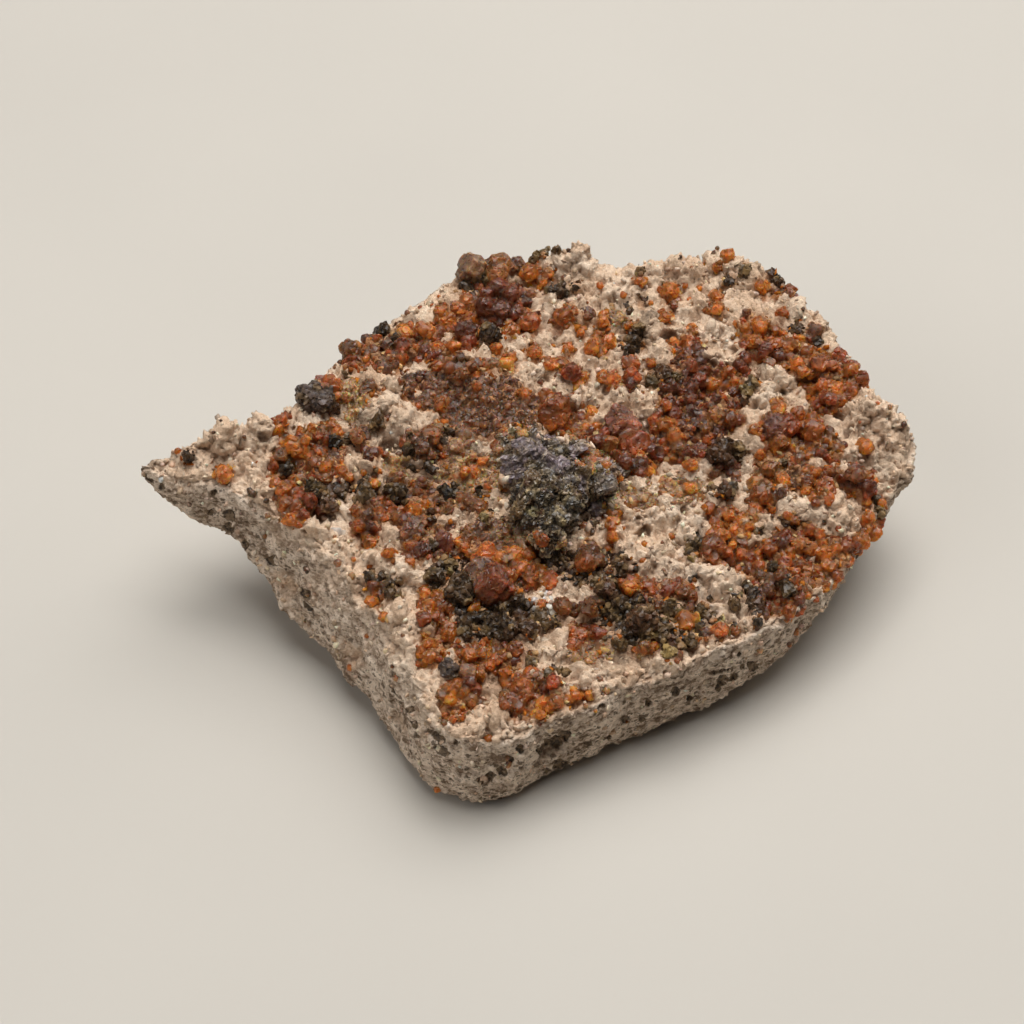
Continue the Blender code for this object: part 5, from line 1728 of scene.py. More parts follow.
class GroundMap:
    """What grows at each pixel of the view, painted from the areas and the spots.

    A spot reaches that many times its radius, and its mound a little past it. The halo is how strongly the
    stain shows that many pixels beyond it.
    """

    SIZE: ClassVar[int] = 1024
    REACH: ClassVar[float] = 1.7
    MOUND: ClassVar[float] = 1.1
    PIT_DEPTH: ClassVar[float] = 1.3
    BARE_LIFT: ClassVar[float] = 0.75
    EDGE: ClassVar[float] = 1.5
    STAIN_FADE: ClassVar[float] = 0.6
    HALO: ClassVar[float] = 0.55
    HALO_REACH: ClassVar[int] = 8

    def __init__(self) -> None:
        """Paints the areas first and the spots over them."""
        shape = (self.SIZE, self.SIZE)
        self.kinds = list(Kind)
        self.kind = np.full(shape, -1, np.int8)
        self.near = np.full(shape, Noise.FAR)
        self.lift = np.zeros(shape)
        self.stain = np.zeros(shape)
        self.pit = np.zeros(shape)
        rows, columns = np.mgrid[0:self.SIZE, 0:self.SIZE]
        for kind, outline in AREAS:
            within = inside(outline, columns.ravel(), rows.ravel()).reshape(shape)
            self.kind[within] = self.kinds.index(kind)
            self.near[within] = 1.0
            self.stain[within] = GROWTHS[kind].stain
        for kind, spots in SPOTS.items():
            for spot in spots:
                self._paint(kind, *spot)
        self.stain = np.maximum(self.stain, self.HALO * self._blurred(self.stain, self.HALO_REACH))
        # Dark specks over the bare rock: partly dark grains, partly painted shade along the rims.
        self.grime_and_shade = np.zeros(shape)
        for u, v, radius in GRIME_AND_SHADE:
            away = np.hypot(columns - u, rows - v) / radius
            self.grime_and_shade = np.maximum(self.grime_and_shade, np.clip(self.EDGE - away, 0, 1))

    def _blurred(self, layer: Array, reach: int) -> Array:
        """Spreads a layer's values over their neighbours.

        Args:
            layer: the layer.
            reach: how many pixels they are spread.

        Returns:
            The blurred layer.
        """
        for axis in (0, 1, 0, 1):
            edge = [(reach + 1, reach) if axis == side else (0, 0) for side in (0, 1)]
            total = np.cumsum(np.pad(layer, edge, mode="edge"), axis=axis)
            width = 2 * reach + 1
            size = layer.shape[axis]
            last = np.take(total, range(width, width + size), axis)
            layer = (last - np.take(total, range(size), axis)) / width
        return layer

    def _paint(self, kind: Kind, u: float, v: float, radius: float) -> None:
        """Paints one spot.

        Args:
            kind: what it is made of.
            u: its column.
            v: its row.
            radius: its radius in pixels.
        """
        reach = int(radius * self.REACH) + 1
        top, left = int(v) - reach, int(u) - reach
        window = (slice(top, top + 2 * reach + 1), slice(left, left + 2 * reach + 1))
        rows, columns = np.mgrid[window]
        away = np.hypot(columns - u, rows - v) / radius
        mound = np.sqrt(np.clip(1 - (away / self.MOUND) ** 2, 0, 1)) * radius / VIEW.pixels_per_mm()
        if kind is Kind.PIT:
            self.pit[window] = np.maximum(self.pit[window], mound * self.PIT_DEPTH)
            return
        growth = GROWTHS.get(kind)
        lift, stain = (growth.lift, growth.stain) if growth else (self.BARE_LIFT, 0.0)
        self.lift[window] = np.maximum(self.lift[window], mound * lift)
        nearer = (away < self.near[window]) & (away < self.REACH)
        self.near[window] = np.where(nearer, away, self.near[window])
        self.kind[window] = np.where(nearer, self.kinds.index(kind), self.kind[window])
        fading = stain * np.clip(self.EDGE - away * self.STAIN_FADE, 0, 1)
        self.stain[window] = np.where(nearer, fading, self.stain[window])

    def read(self, layer: Array, u: Array, v: Array) -> Array:
        """Reads a layer.

        Args:
            layer: the layer.
            u: the columns.
            v: the rows.

        Returns:
            The layer's values there.
        """
        rows = np.clip(np.rint(v), 0, self.SIZE - 1).astype(int)
        columns = np.clip(np.rint(u), 0, self.SIZE - 1).astype(int)
        return layer[rows, columns]


def fine_surface(node: str, voxel: float, softening: int) -> Mesh:
    """A node's surface as an even fine mesh.

    Args:
        node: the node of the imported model.
        voxel: the size of the mesh's faces, in millimetres.
        softening: how often the solid's own flat facets are smoothed.

    Returns:
        A new mesh.
    """
    return evened(add_object("work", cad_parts[node].data.copy()), voxel, softening)


def evened(work: bpy.types.Object, voxel: float, softening: int) -> Mesh:
    """Makes an object's surface even.

    Args:
        work: the object, which is removed.
        voxel: the size of the new faces, in millimetres.
        softening: how often it is smoothed.

    Returns:
        A new mesh.
    """
    even = work.modifiers.new("even", "REMESH")
    even.mode = "VOXEL"
    even.voxel_size = voxel * MM
    soft = work.modifiers.new("soft", "SMOOTH")
    soft.iterations = softening
    soft.factor = 0.5
    return evaluated(work)


def evaluated(work: bpy.types.Object) -> Mesh:
    """Applies an object's modifiers.

    Args:
        work: the object, which is removed.

    Returns:
        The mesh that they give.
    """
    bpy.context.view_layer.update()
    graph = bpy.context.evaluated_depsgraph_get()
    mesh = bpy.data.meshes.new_from_object(work.evaluated_get(graph))
    bpy.data.objects.remove(work)
    return mesh


def thinned(mesh: Mesh, triangles: int) -> Mesh:
    """Thins a mesh, and keeps it fine where its shape needs it.

    Args:
        mesh: the mesh.
        triangles: how many triangles it may have.

    Returns:
        A new mesh.
    """
    mesh.calc_loop_triangles()
    work = add_object("work", mesh)
    thin = work.modifiers.new("thin", "DECIMATE")
    thin.ratio = min(1.0, triangles / len(mesh.loop_triangles))
    thin.use_collapse_triangulate = True
    return evaluated(work)


def read_points(mesh: Mesh) -> tuple[Array, Array]:
    """Reads a mesh's points.

    Args:
        mesh: the mesh.

    Returns:
        The points in millimetres, and their normals.
    """
    places, normals = np.empty(len(mesh.vertices) * 3), np.empty(len(mesh.vertices) * 3)
    mesh.vertices.foreach_get("co", places)
    mesh.vertices.foreach_get("normal", normals)
    return places.reshape(-1, 3) / MM, normals.reshape(-1, 3)


class Links:
    """Which points of a mesh are joined by edges."""

    def __init__(self, mesh: Mesh) -> None:
        """Reads a mesh's edges.

        Args:
            mesh: the mesh.
        """
        edges = np.empty(len(mesh.edges) * 2, np.int32)
        mesh.edges.foreach_get("vertices", edges)
        self.first, self.second = edges.reshape(-1, 2).T
        self.size = len(mesh.vertices)
        counts = np.bincount(self.first, minlength=self.size) + np.bincount(self.second, minlength=self.size)
        self.counts = np.maximum(counts, 1)

    def spread(self, values: Array, times: int) -> Array:
        """Mixes values with their neighbours'.

        Args:
            values: values, one or a row for each point.
            times: how often.

        Returns:
            The mixed values.
        """
        rows = values.reshape(self.size, -1).T
        for _ in range(times):
            rows = [(np.bincount(self.first, row[self.second], self.size)
                     + np.bincount(self.second, row[self.first], self.size)) / self.counts for row in rows]
        return np.array(rows).T.reshape(values.shape)

    def hollows(self, height: Array, reach: int, strength: float) -> Array:
        """How far each point lies sunk among its neighbours, from 0 to 1, and 0.5 on the level."""
        return np.clip(0.5 + (self.spread(height, reach) - height) * strength, 0, 1)


def halved(mesh: Mesh) -> list[Mesh]:
    """Cuts a mesh into a left and a right half of as many faces each, which meet edge to edge.

    Args:
        mesh: the mesh.

    Returns:
        The two halves.
    """
    middles = np.empty(len(mesh.polygons) * 3)
    mesh.polygons.foreach_get("center", middles)
    across = middles.reshape(-1, 3)[:, 0]
    left = across < np.median(across)
    halves = []
    for unwanted in (~left, left):
        half = mesh.copy()
        bm = bmesh.new()
        bm.from_mesh(half)
        bm.faces.ensure_lookup_table()
        bmesh.ops.delete(bm, geom=[bm.faces[index] for index in np.flatnonzero(unwanted)], context="FACES")
        bm.to_mesh(half)
        bm.free()
        halves.append(half)
    return halves


@dataclass(frozen=True)
class Relief:
    """How far each kind of unevenness moves the rock out, for each millimetre or step of its own."""

    lumps: float
    knobs: float
    crumbs: float
    chips: float
    rough: float
    cracks: float
    ridges: float


@dataclass
class Rock:
    """The slab: its solid made fine, with a crumbly relief and the marks that its finish reads.

    Lengths are in millimetres. Each row of domes, the lumps, the knobs and the crumbs, is how far they are
    bent, a shift, their spacing and their least and largest radius in spacings. Means are the heights that
    are counted as level.
    """

    map: GroundMap
    voxel: float = 0.2
    softening: int = 30
    triangles: int = 320_000
    seed: int = 5
    flat_height: float = 0.25
    flat_facing: float = -0.5
    upward_range: Pair = (0.2, 0.6)
    hollow_reach: int = 8
    hollow_strength: float = 1.4
    pit_shade: float = 1.5
    grime_and_shade_least: float = 0.42
    grime_and_shade_reach: float = 0.15
    grime_and_shade_spacing: float = 0.9
    bend_spacing: float = 2.4
    domes: tuple[tuple[float, ...], ...] = (
        (1.0, 0.0, 3.4, 0.25, 0.85), (0.6, 11.0, 1.5, 0.25, 0.85), (0.3, 23.0, 0.75, 0.3, 0.85),
    )
    chip_bend: float = 0.35
    chip_shift: float = 41.0
    chip_size: float = 0.85
    crack_width: float = 0.22
    rough_noise: tuple[float, int, float] = (0.6, 3, 0.7)
    ridge_bend: float = 0.3
    ridge_shift: float = 7.0
    ridge_spacing: float = 0.8
    means: Relief = Relief(1.3, 0.5, 0.3, 0.5, 0.0, 0.0, 0.6)
    top: Relief = Relief(0.38, 0.55, 0.36, 0.5, 0.34, 0.16, 0.28)
    side: Relief = Relief(0.10, 0.15, 0.25, 0.22, 0.2, 0.05, 0.12)
    pocket_flat: Triple = (0.8, 0.8, 1.5)
    pocket_bend: float = 0.5
    pocket_spacing: float = 2.1
    pocket_wander: float = 2.5
    pocket_depth: float = 0.35

    def __post_init__(self) -> None:
        """Starts the noise that the relief is read from."""
        self.noise = Noise(self.seed)

    def build(self) -> Mesh:
        """Makes, carves and dresses the slab, and makes a piece of each of its two halves.

        Returns:
            The whole slab's mesh.
        """
        mesh = fine_surface("matrix", self.voxel, self.softening)
        places, normals = read_points(mesh)
        resting = (places[:, 2] < self.flat_height) & (normals[:, 2] < self.flat_facing)
        upward = ease(*self.upward_range, normals[:, 2])
        u, v = seen_at(places)
        layers = (self.map.lift, self.map.pit, self.map.stain, self.map.grime_and_shade)
        lift, pit, stain, grime_and_shade = (self.map.read(layer, u, v) * upward for layer in layers)
        height, lump, crumb = self._relief(places, upward)
        height += lift - pit
        speck = self._pockets(places, normals, u, v, 1 - upward)
        height -= self.pocket_depth * speck
        # Painted shade: how far each point lies sunk, and its pit, which the finish paints darker.
        sunk = Links(mesh).hollows(height, self.hollow_reach, self.hollow_strength)
        hollow_shade = np.maximum(sunk, np.clip(0.5 + pit, 0, 1))
        height[resting] = 0
        moved = np.clip((places + normals * height[:, None]) * MM, *BOX_LIMITS)
        moved[resting, 2] = 0
        mesh.vertices.foreach_set("co", moved.ravel())
        # Painted shade: pits are darkened with dark specks too, on top of the bare rock's own.
        grime_and_shade = grime_and_shade + self.pit_shade * pit
        # The broken sides' dark grains, joined by the bare rock's dark specks, which are partly painted
        # shade.
        patchy = np.clip(0.55 + 0.9 * self.noise.layered(places, self.grime_and_shade_spacing, 3, 0.6), 0, 1)
        speck = np.maximum(speck, self.grime_and_shade_least + self.grime_and_shade_reach * np.minimum(grime_and_shade, 1) * patchy)
        ones = np.ones(len(places))
        store_colours(mesh, "rock_marks", np.stack([speck, hollow_shade, stain, ones], axis=1))
        store_colours(mesh, "rock_tones", np.stack([lump, crumb, 1 - upward, ones], axis=1))
        mesh.update()
        mesh = thinned(mesh, self.triangles)
        mesh.polygons.foreach_set("use_smooth", [True] * len(mesh.polygons))
        finish = RockFinish().material()
        for name, half in zip(("matrix_rock_left", "matrix_rock_right"), halved(mesh)):
            finish_piece(name, half, finish, "matrix", "matrix")
        return mesh

    def _relief(self, places: Array, upward: Array) -> tuple[Array, Array, Array]:
        """The crumbly unevenness of the rock.

        Args:
            places: the surface's points.
            upward: 1 on the upper face and 0 on the broken sides.

        Returns:
            How far each point moves out, and the tones of the lump and of the crumb that it belongs to.
        """
        noise, level = self.noise, self.means
        bent = noise.bends(places, self.bend_spacing)
        (lumps, lump), (knobs, _), (crumbs, crumb) = (
            noise.domes(places + bend * bent + shift, *size) for bend, shift, *size in self.domes)
        near, second, chip = noise.cells(places + self.chip_bend * bent + self.chip_shift, self.chip_size)
        crack = ease(self.crack_width, 0.0, second - near)
        rough = noise.layered(places, *self.rough_noise)
        ridges = noise.ridges(places + self.ridge_bend * bent + self.ridge_shift, self.ridge_spacing)
        heights = []
        for part in (self.top, self.side):
            height = part.lumps * (lumps - level.lumps) + part.knobs * (knobs - level.knobs)
            height = height + part.crumbs * (crumbs - level.crumbs) + part.chips * (chip - level.chips)
            height += part.rough * rough - part.cracks * crack + part.ridges * (ridges - level.ridges)
            heights.append(height)
        return heights[0] * upward + heights[1] * (1 - upward), lump, crumb

    def _pockets(self, places: Array, normals: Array, u: Array, v: Array, broken: Array) -> Array:
        """The dark pockets of the broken sides, which are pitted.

        Args:
            places: the surface's points.
            normals: their normals.
            u: the columns that they are seen at.
            v: the rows.
            broken: 1 on the broken sides and 0 on the upper face.

        Returns:
            How strongly a pocket shows at each point, from 0 to 1.
        """
        flat = places * np.array(self.pocket_flat)
        bent = self.pocket_bend * self.noise.layered(flat, 0.9, 2)[:, None]
        near, second, value = self.noise.cells(flat + bent + 3.0, self.pocket_spacing)
        strength = ease(0.88, 0.92, value) * ease(0.0, 0.3, second - near) * ease(0.5, 0.35, near)
        toward = np.array([0.0, -math.cos(VIEW.pitch), math.sin(VIEW.pitch)])
        facing = ease(0.05, 0.25, normals @ toward)
        wander = self.pocket_wander * self.noise.smooth(places, 0.8)
        for pocket_u, pocket_v, radius in POCKETS:
            away = (np.hypot(u - pocket_u, v - pocket_v) + wander) / radius
            strength = np.maximum(strength, ease(1.15, 0.8, away) * facing)
        return strength * broken


class Ground:
    """The finished rock, on which crystals find their seats."""

    EDGE_REACH: ClassVar[int] = 40
    EDGE_STEP: ClassVar[int] = 2
    SLANT: ClassVar[float] = 0.82

    def __init__(self, mesh: Mesh) -> None:
        """Reads a surface.

        Args:
            mesh: its mesh.
        """
        points = read_points(mesh)[0]
        mesh.calc_loop_triangles()
        corners = np.empty(len(mesh.loop_triangles) * 3, np.int32)
        mesh.loop_triangles.foreach_get("vertices", corners)
        self.tree = BVHTree.FromPolygons((points * MM).tolist(), corners.reshape(-1, 3).tolist())
        self.corners = points[corners.reshape(-1, 3)]
        cross = np.cross(self.corners[:, 1] - self.corners[:, 0], self.corners[:, 2] - self.corners[:, 0])
        self.areas = np.linalg.norm(cross, axis=1) / 2
        self.normals = cross / np.maximum(self.areas * 2, 1e-9)[:, None]
        self.middles = self.corners.mean(axis=1)
        self.pixels = seen_at(self.middles)

    def seen(self, u: float, v: float, rise: float = 0.0) -> Vector:
        """Finds a point on a pixel's line of sight. Past the rock's edge, the rock a little lower counts.

        Args:
            u: the pixel's column.
            v: its row.
            rise: how far the point is above the rock, in millimetres.

        Returns:
            The point, in millimetres.
        """
        for lower in range(0, self.EDGE_REACH, self.EDGE_STEP):
            way = VIEW.way(u, v + lower)
            hit = self.tree.ray_cast(VIEW.eye * MM, way)[0]
            if hit:
                lift = lower / VIEW.pixels_per_mm() / math.cos(VIEW.pitch)
                return hit / MM + Vector((0, 0, lift)) - way * (rise / self.SLANT)
        raise ValueError(f"no rock under pixel {u}, {v}")

    def first_of(self, other: "Ground", u: float, v: float) -> Vector:
        """Finds the point that is seen at a pixel, on this surface or on another that is nearer.

        Args:
            other: the other surface.
            u: the pixel's column.
            v: its row.

        Returns:
            The point, in millimetres.
        """
        hit = self.tree.ray_cast(VIEW.eye * MM, VIEW.way(u, v))[0]
        seat = other.seen(u, v)
        if hit and (hit / MM - VIEW.eye).length < (seat - VIEW.eye).length:
            return hit / MM
        return seat

    def under(self, place: Vector) -> Vector:
        """The nearest point of the rock, in millimetres."""
        return self.tree.find_nearest(place * MM)[0] / MM

    def sample(self, chosen: Array, count: int,
               draw: np.random.Generator) -> tuple[Array, Array]:
        """Random points of the rock.

        Args:
            chosen: True for each of the rock's triangles that the points may lie on.
            count: how many points.
            draw: where the random numbers come from.

        Returns:
            The points in millimetres and the directions that crystals stand out there.
        """
        faces = np.flatnonzero(chosen)
        weights = self.areas[faces]
        picked = faces[draw.choice(len(faces), count, p=weights / weights.sum())]
        a, b = draw.uniform(size=(2, count, 1))
        over = a + b > 1
        a, b = np.where(over, 1 - a, a), np.where(over, 1 - b, b)
        corner = self.corners[picked]
        places = corner[:, 0] * (1 - a - b) + corner[:, 1] * a + corner[:, 2] * b
        return places, self.normals[picked]

    def area(self, chosen: Array) -> float:
        """The area of the chosen triangles, in square millimetres."""
        return float(self.areas[chosen].sum())


class Seats:
    """The places that crystals have taken, in a grid for a quick search."""

    CELL: ClassVar[float] = 2.4

    def __init__(self) -> None:
        """Starts with every place free."""
        self.cells: dict[tuple[int, int, int], list[tuple[float, float, float, float]]] = {}

    def take(self, x: float, y: float, z: float, radius: float) -> None:
        """Notes a crystal."""
        key = (int(x // self.CELL), int(y // self.CELL), int(z // self.CELL))
        self.cells.setdefault(key, []).append((x, y, z, radius))

    def free(self, x: float, y: float, z: float, radius: float, closeness: float) -> bool:
        """Tells whether a crystal's place is free.

        Args:
            x: its place along x.
            y: along y.
            z: along z.
            radius: its radius.
            closeness: how near another's middle may lie, as a share of the two radii.

        Returns:
            True if it is free.
        """
        i, j, k = int(x // self.CELL), int(y // self.CELL), int(z // self.CELL)
        for key in itertools.product((i - 1, i, i + 1), (j - 1, j, j + 1), (k - 1, k, k + 1)):
            for other_x, other_y, other_z, other in self.cells.get(key, ()):
                reach = closeness * (radius + other)
                if (x - other_x) ** 2 + (y - other_y) ** 2 + (z - other_z) ** 2 < reach * reach:
                    return False
        return True


@dataclass
class Crystals:
    """Every crystal of the upper surface: one to each spot, then finer ones that fill the gaps.

    Lengths are in millimetres. Ranges are the least and the most of a random draw.
    """

    kit: CrystalKit
    ground: Ground
    map: GroundMap
    finishes: dict[str, Material]
    seed: int = 100
    top_facing: float = 0.25
    fill_reach: float = 1.2
    fill_rounds: tuple[float, ...] = (1.0, 0.5, 0.1)
    fill_tries: float = 0.7
    fill_sizes: Pair = (0.75, 1.25)
    fill_sunk: Pair = (-0.75, 0.05)
    fill_upright: float = 0.6
    closeness: float = 0.64
    apart: float = 1.15
    worn_from: float = 0.5
    rough_from: float = 0.7
    tint_patch: float = 3.0
    tint_drift: float = 0.9
    tint_spread: float = 0.16
    deep: float = 0.25
    hero_twins: int = 6
    spot_twins: int = 3
    twin_rise: Pair = (-0.8, 0.45)
    twin_away: Pair = (0.45, 0.7)
    twin_sizes: Pair = (0.45, 0.72)
    twin_stretch: Pair = (0.8, 1.2)
    root_step: float = 0.7
    root_size: float = 0.95
    spot_sizes: Pair = (1.02, 1.2)
    spot_stretch: Pair = (0.85, 1.15)
    spot_overlap: tuple[float, float] = (0.5, 0.6)
    main_tint: float = 0.5
    tilt: float = 0.35
    flake_tilt: float = 0.7
    cell: int = 12
    skins: dict[str, Skin] = field(default_factory=lambda: {
        GARNET.name: GARNET_SKIN, OLIVE.name: MINERAL_SKIN})
    words: dict[str, str] = field(default_factory=lambda: {
        GARNET.name: "crystals", OLIVE.name: "dark_grains", SILVER.name: "flakes", PALE.name: "rims"})

    def __post_init__(self) -> None:
        """Starts with no crystals."""
        self.draw = np.random.default_rng(self.seed)
        self.noise = Noise(self.seed)
        self.seats = Seats()
        self.batches: dict[tuple[str, str], Batch] = {}
        self.known: dict[tuple[int, int], str] = {}

    def build(self) -> None:
        """Grows the spots' crystals, then the fill, and makes each node's pieces."""
        for hero in HEROES:
            self._set(hero)
        for kind, spots in SPOTS.items():
            if kind in GROWTHS:
                for spot in spots:
                    self._grow(kind, *spot)
        for index, kind in enumerate(self.map.kinds):
            if kind in GROWTHS and kind is not Kind.SILVER:
                self._fill(kind, index)
        for home in HOMES:
            self._make(home)

    def _make(self, home: Home) -> None:
        """Makes a node's pieces, one of each finish. The first replaces the node.

        Args:
            home: the node.
        """
        replaced = (home.name,)
        for finish, word in self.words.items():
            batch = self.batches.get((home.name, finish))
            if batch:
                dress = (self.finishes[finish], self._slot(home, finish), *replaced)
                name = f"{home.name}_{word}"
                if finish in self.skins:
                    batch.make_grown(name, self.skins[finish], *dress)
                else:
                    batch.make(name, *dress)
                replaced = ()

    def _slot(self, home: Home, finish: str) -> str:
        """The material slot of a node's crystals of one finish.

        Args:
            home: the node.
            finish: the finish's name.

        Returns:
            The slot's name.
        """
        if finish in (SILVER.name, PALE.name):
            return "mica" if finish == SILVER.name else "matrix"
        if finish == OLIVE.name:
            return home.slot if home.slot.endswith("mineral") else "olive_mineral"
        return home.slot if home.slot.startswith("garnet") else "garnet_brown"

    def _home(self, u: float, v: float) -> str:
        """The node that a spot's crystals stand for."""
        return max(HOMES, key=lambda home: home.depth(u, v)).name

    def _batch(self, home: str, tint: Tint) -> Batch:
        """Finds the batch of a node's crystals of one finish, or starts it.

        Args:
            home: the node's name.
            tint: a tint of that finish.

        Returns:
            The batch.
        """
        others = {Tint.SILVER: SILVER, Tint.CREAM: PALE, Tint.CHALK: PALE}
        finish = GARNET if tint in GARNET_TINTS else others.get(tint, OLIVE)
        key = (home, finish.name)
        if key not in self.batches:
            self.batches[key] = Batch(self.kit, self.seed + len(self.batches))
        return self.batches[key]

    def _set(self, hero: Hero) -> None:
        """Sets one of the large crystals, with smaller ones on it and under it.

        Args:
            hero: the large crystal.
        """
        middle = self.ground.seen(hero.u, hero.v, hero.rise)
        batch = self._batch(self._home(hero.u, hero.v), hero.tint)
        turn = turned(hero.faces)
        batch.add(hero.form, middle, hero.radius, hero.tint, True, turn, hero.stretch)
        self._attach(batch, hero.form, middle, hero.radius, hero.tint, turn, self.hero_twins)
        self._root(batch, hero, middle)
        self.seats.take(*middle, hero.radius * self.apart)

    def _root(self, batch: Batch, hero: Hero, middle: Vector) -> None:
        """Joins a large crystal that stands clear of the rock to it by others under it.

        Args:
            batch: the batch that they go to.
            hero: the large crystal.
            middle: its middle.
        """
        base = self.ground.under(middle)
        steps = int((middle - base).length / (self.root_step * hero.radius))
        for step in range(1, steps + 1):
            batch.add(hero.form, middle.lerp(base, step / steps), hero.radius * self.root_size, hero.tint)

    def _attach(self, batch: Batch, form: Form, middle: Vector, radius: float, tint: Tint, turn: Matrix,
                count: int) -> None:
        """Adds smaller crystals that have grown on one and are turned alike.

        Args:
            batch: the batch that they go to.
            form: their form.
            middle: the larger crystal's middle.
            radius: its radius.
            tint: their tint.
            turn: their rotation.
            count: how many.
        """
        for _ in range(count):
            bearing, rise = self.draw.uniform(0, math.tau), self.draw.uniform(*self.twin_rise)
            across = math.sqrt(1 - rise * rise)
            way = Vector((across * math.cos(bearing), across * math.sin(bearing), rise))
            place = middle + way * (radius * self.draw.uniform(*self.twin_away))
            size = radius * self.draw.uniform(*self.twin_sizes)
            stretch = tuple(self.draw.uniform(*self.twin_stretch, 3))
            batch.add(form, place, size, tint, size > self.worn_from, turn, stretch)

    def _grow(self, kind: Kind, u: float, v: float, spread: float) -> None:
        """Grows a spot's main crystal, unless its place is taken.

        Args:
            kind: what the spot is made of.
            u: its column.
            v: its row.
            spread: its radius in pixels.
        """
        growth = GROWTHS[kind]
        radius = growth.size * spread / VIEW.pixels_per_mm() * self.draw.uniform(*self.spot_sizes)
        middle = self.ground.seen(u, v, growth.stand * radius)
        smaller, closeness = self.spot_overlap
        if not self.seats.free(*middle, radius * smaller, closeness):
            return
        tint = growth.tints[0] if self.draw.random() < self.main_tint else one_of(self.draw, growth.tints)
        form = one_of(self.draw, growth.forms)
        if form is Form.ROUGH and radius < self.rough_from:
            form = Form.ROUGH_SMALL
        tilt = self.draw.normal(0, self.tilt, 3)
        if form is Form.FLAKE:
            turn = Euler((self.flake_tilt + tilt[0], tilt[1], tilt[2])).to_matrix()
        else:
            turn = turned(((tilt[0], tilt[1] - 0.2, 0.9), (tilt[2], -0.9, 0.2)))
        batch = self._batch(self._home(u, v), tint)
        stretch = tuple(self.draw.uniform(*self.spot_stretch, 3))
        batch.add(form, middle, radius, tint, radius > self.worn_from, turn, stretch)
        if form is not Form.FLAKE:
            self._attach(batch, form, middle, radius, tint, turn, self.spot_twins)
        self.seats.take(*middle, radius * self.apart)

    def _fill(self, kind: Kind, index: int) -> None:
        """Fills the gaps of one kind with finer crystals.

        Args:
            kind: the kind.
            index: its number in the map.
        """
        growth = GROWTHS[kind]
        u, v = self.ground.pixels
        chosen = self.ground.normals[:, 2] > self.top_facing
        chosen &= self.map.read(self.map.kind, u, v) == index
        chosen &= self.map.read(self.map.near, u, v) < self.fill_reach
        chosen &= self.map.read(self.map.pit, u, v) < self.deep
        if not chosen.any():
            return
        least, most = growth.fill
        area = self.ground.area(chosen)
        for share in self.fill_rounds:
            radius = least + (most - least) * share
            tries = int(area / (radius * radius) * self.fill_tries)
            places, normals = self.ground.sample(chosen, tries, self.draw)
            out = normals + np.array([0, 0, self.fill_upright])
            out /= np.linalg.norm(out, axis=1, keepdims=True)
            sizes = radius * self.draw.uniform(*self.fill_sizes, tries)
            middles = places + out * (sizes * self.draw.uniform(*self.fill_sunk, tries))[:, None]
            drift = 0.5 + self.tint_drift * self.noise.smooth(middles, self.tint_patch)
            drift = drift + self.draw.normal(0, self.tint_spread, tries)
            choices = (np.clip(drift, 0, 0.999) * len(growth.tints)).astype(int)
            for middle, size, choice in zip(middles, sizes, choices):
                if self.seats.free(*middle, size, self.closeness):
                    self.seats.take(*middle, size)
                    self._add_fine(growth, middle, size, growth.tints[choice])

    def _add_fine(self, growth: Growth, middle: Array, size: float, tint: Tint) -> None:
        """Adds one of the finer crystals.

        Args:
            growth: how its kind grows.
            middle: its middle.
            size: its radius.
            tint: its tint.
        """
        form = one_of(self.draw, growth.fine)
        u, v = seen_at(middle[None])
        cell = (int(u[0] // self.cell), int(v[0] // self.cell))
        if cell not in self.known:
            self.known[cell] = self._home(*((part + 0.5) * self.cell for part in cell))
        stretch = tuple(self.draw.uniform(*self.fill_sizes, 3))
        self._batch(self.known[cell], tint).add(form, middle, size, tint, False, None, stretch)


@dataclass(frozen=True)
class Mix:
    """Crystals that one is chosen from: their tints, their forms, and their least and largest radius."""

    tints: tuple[Tint, ...]
    forms: tuple[Form, ...]
    least: float
    most: float


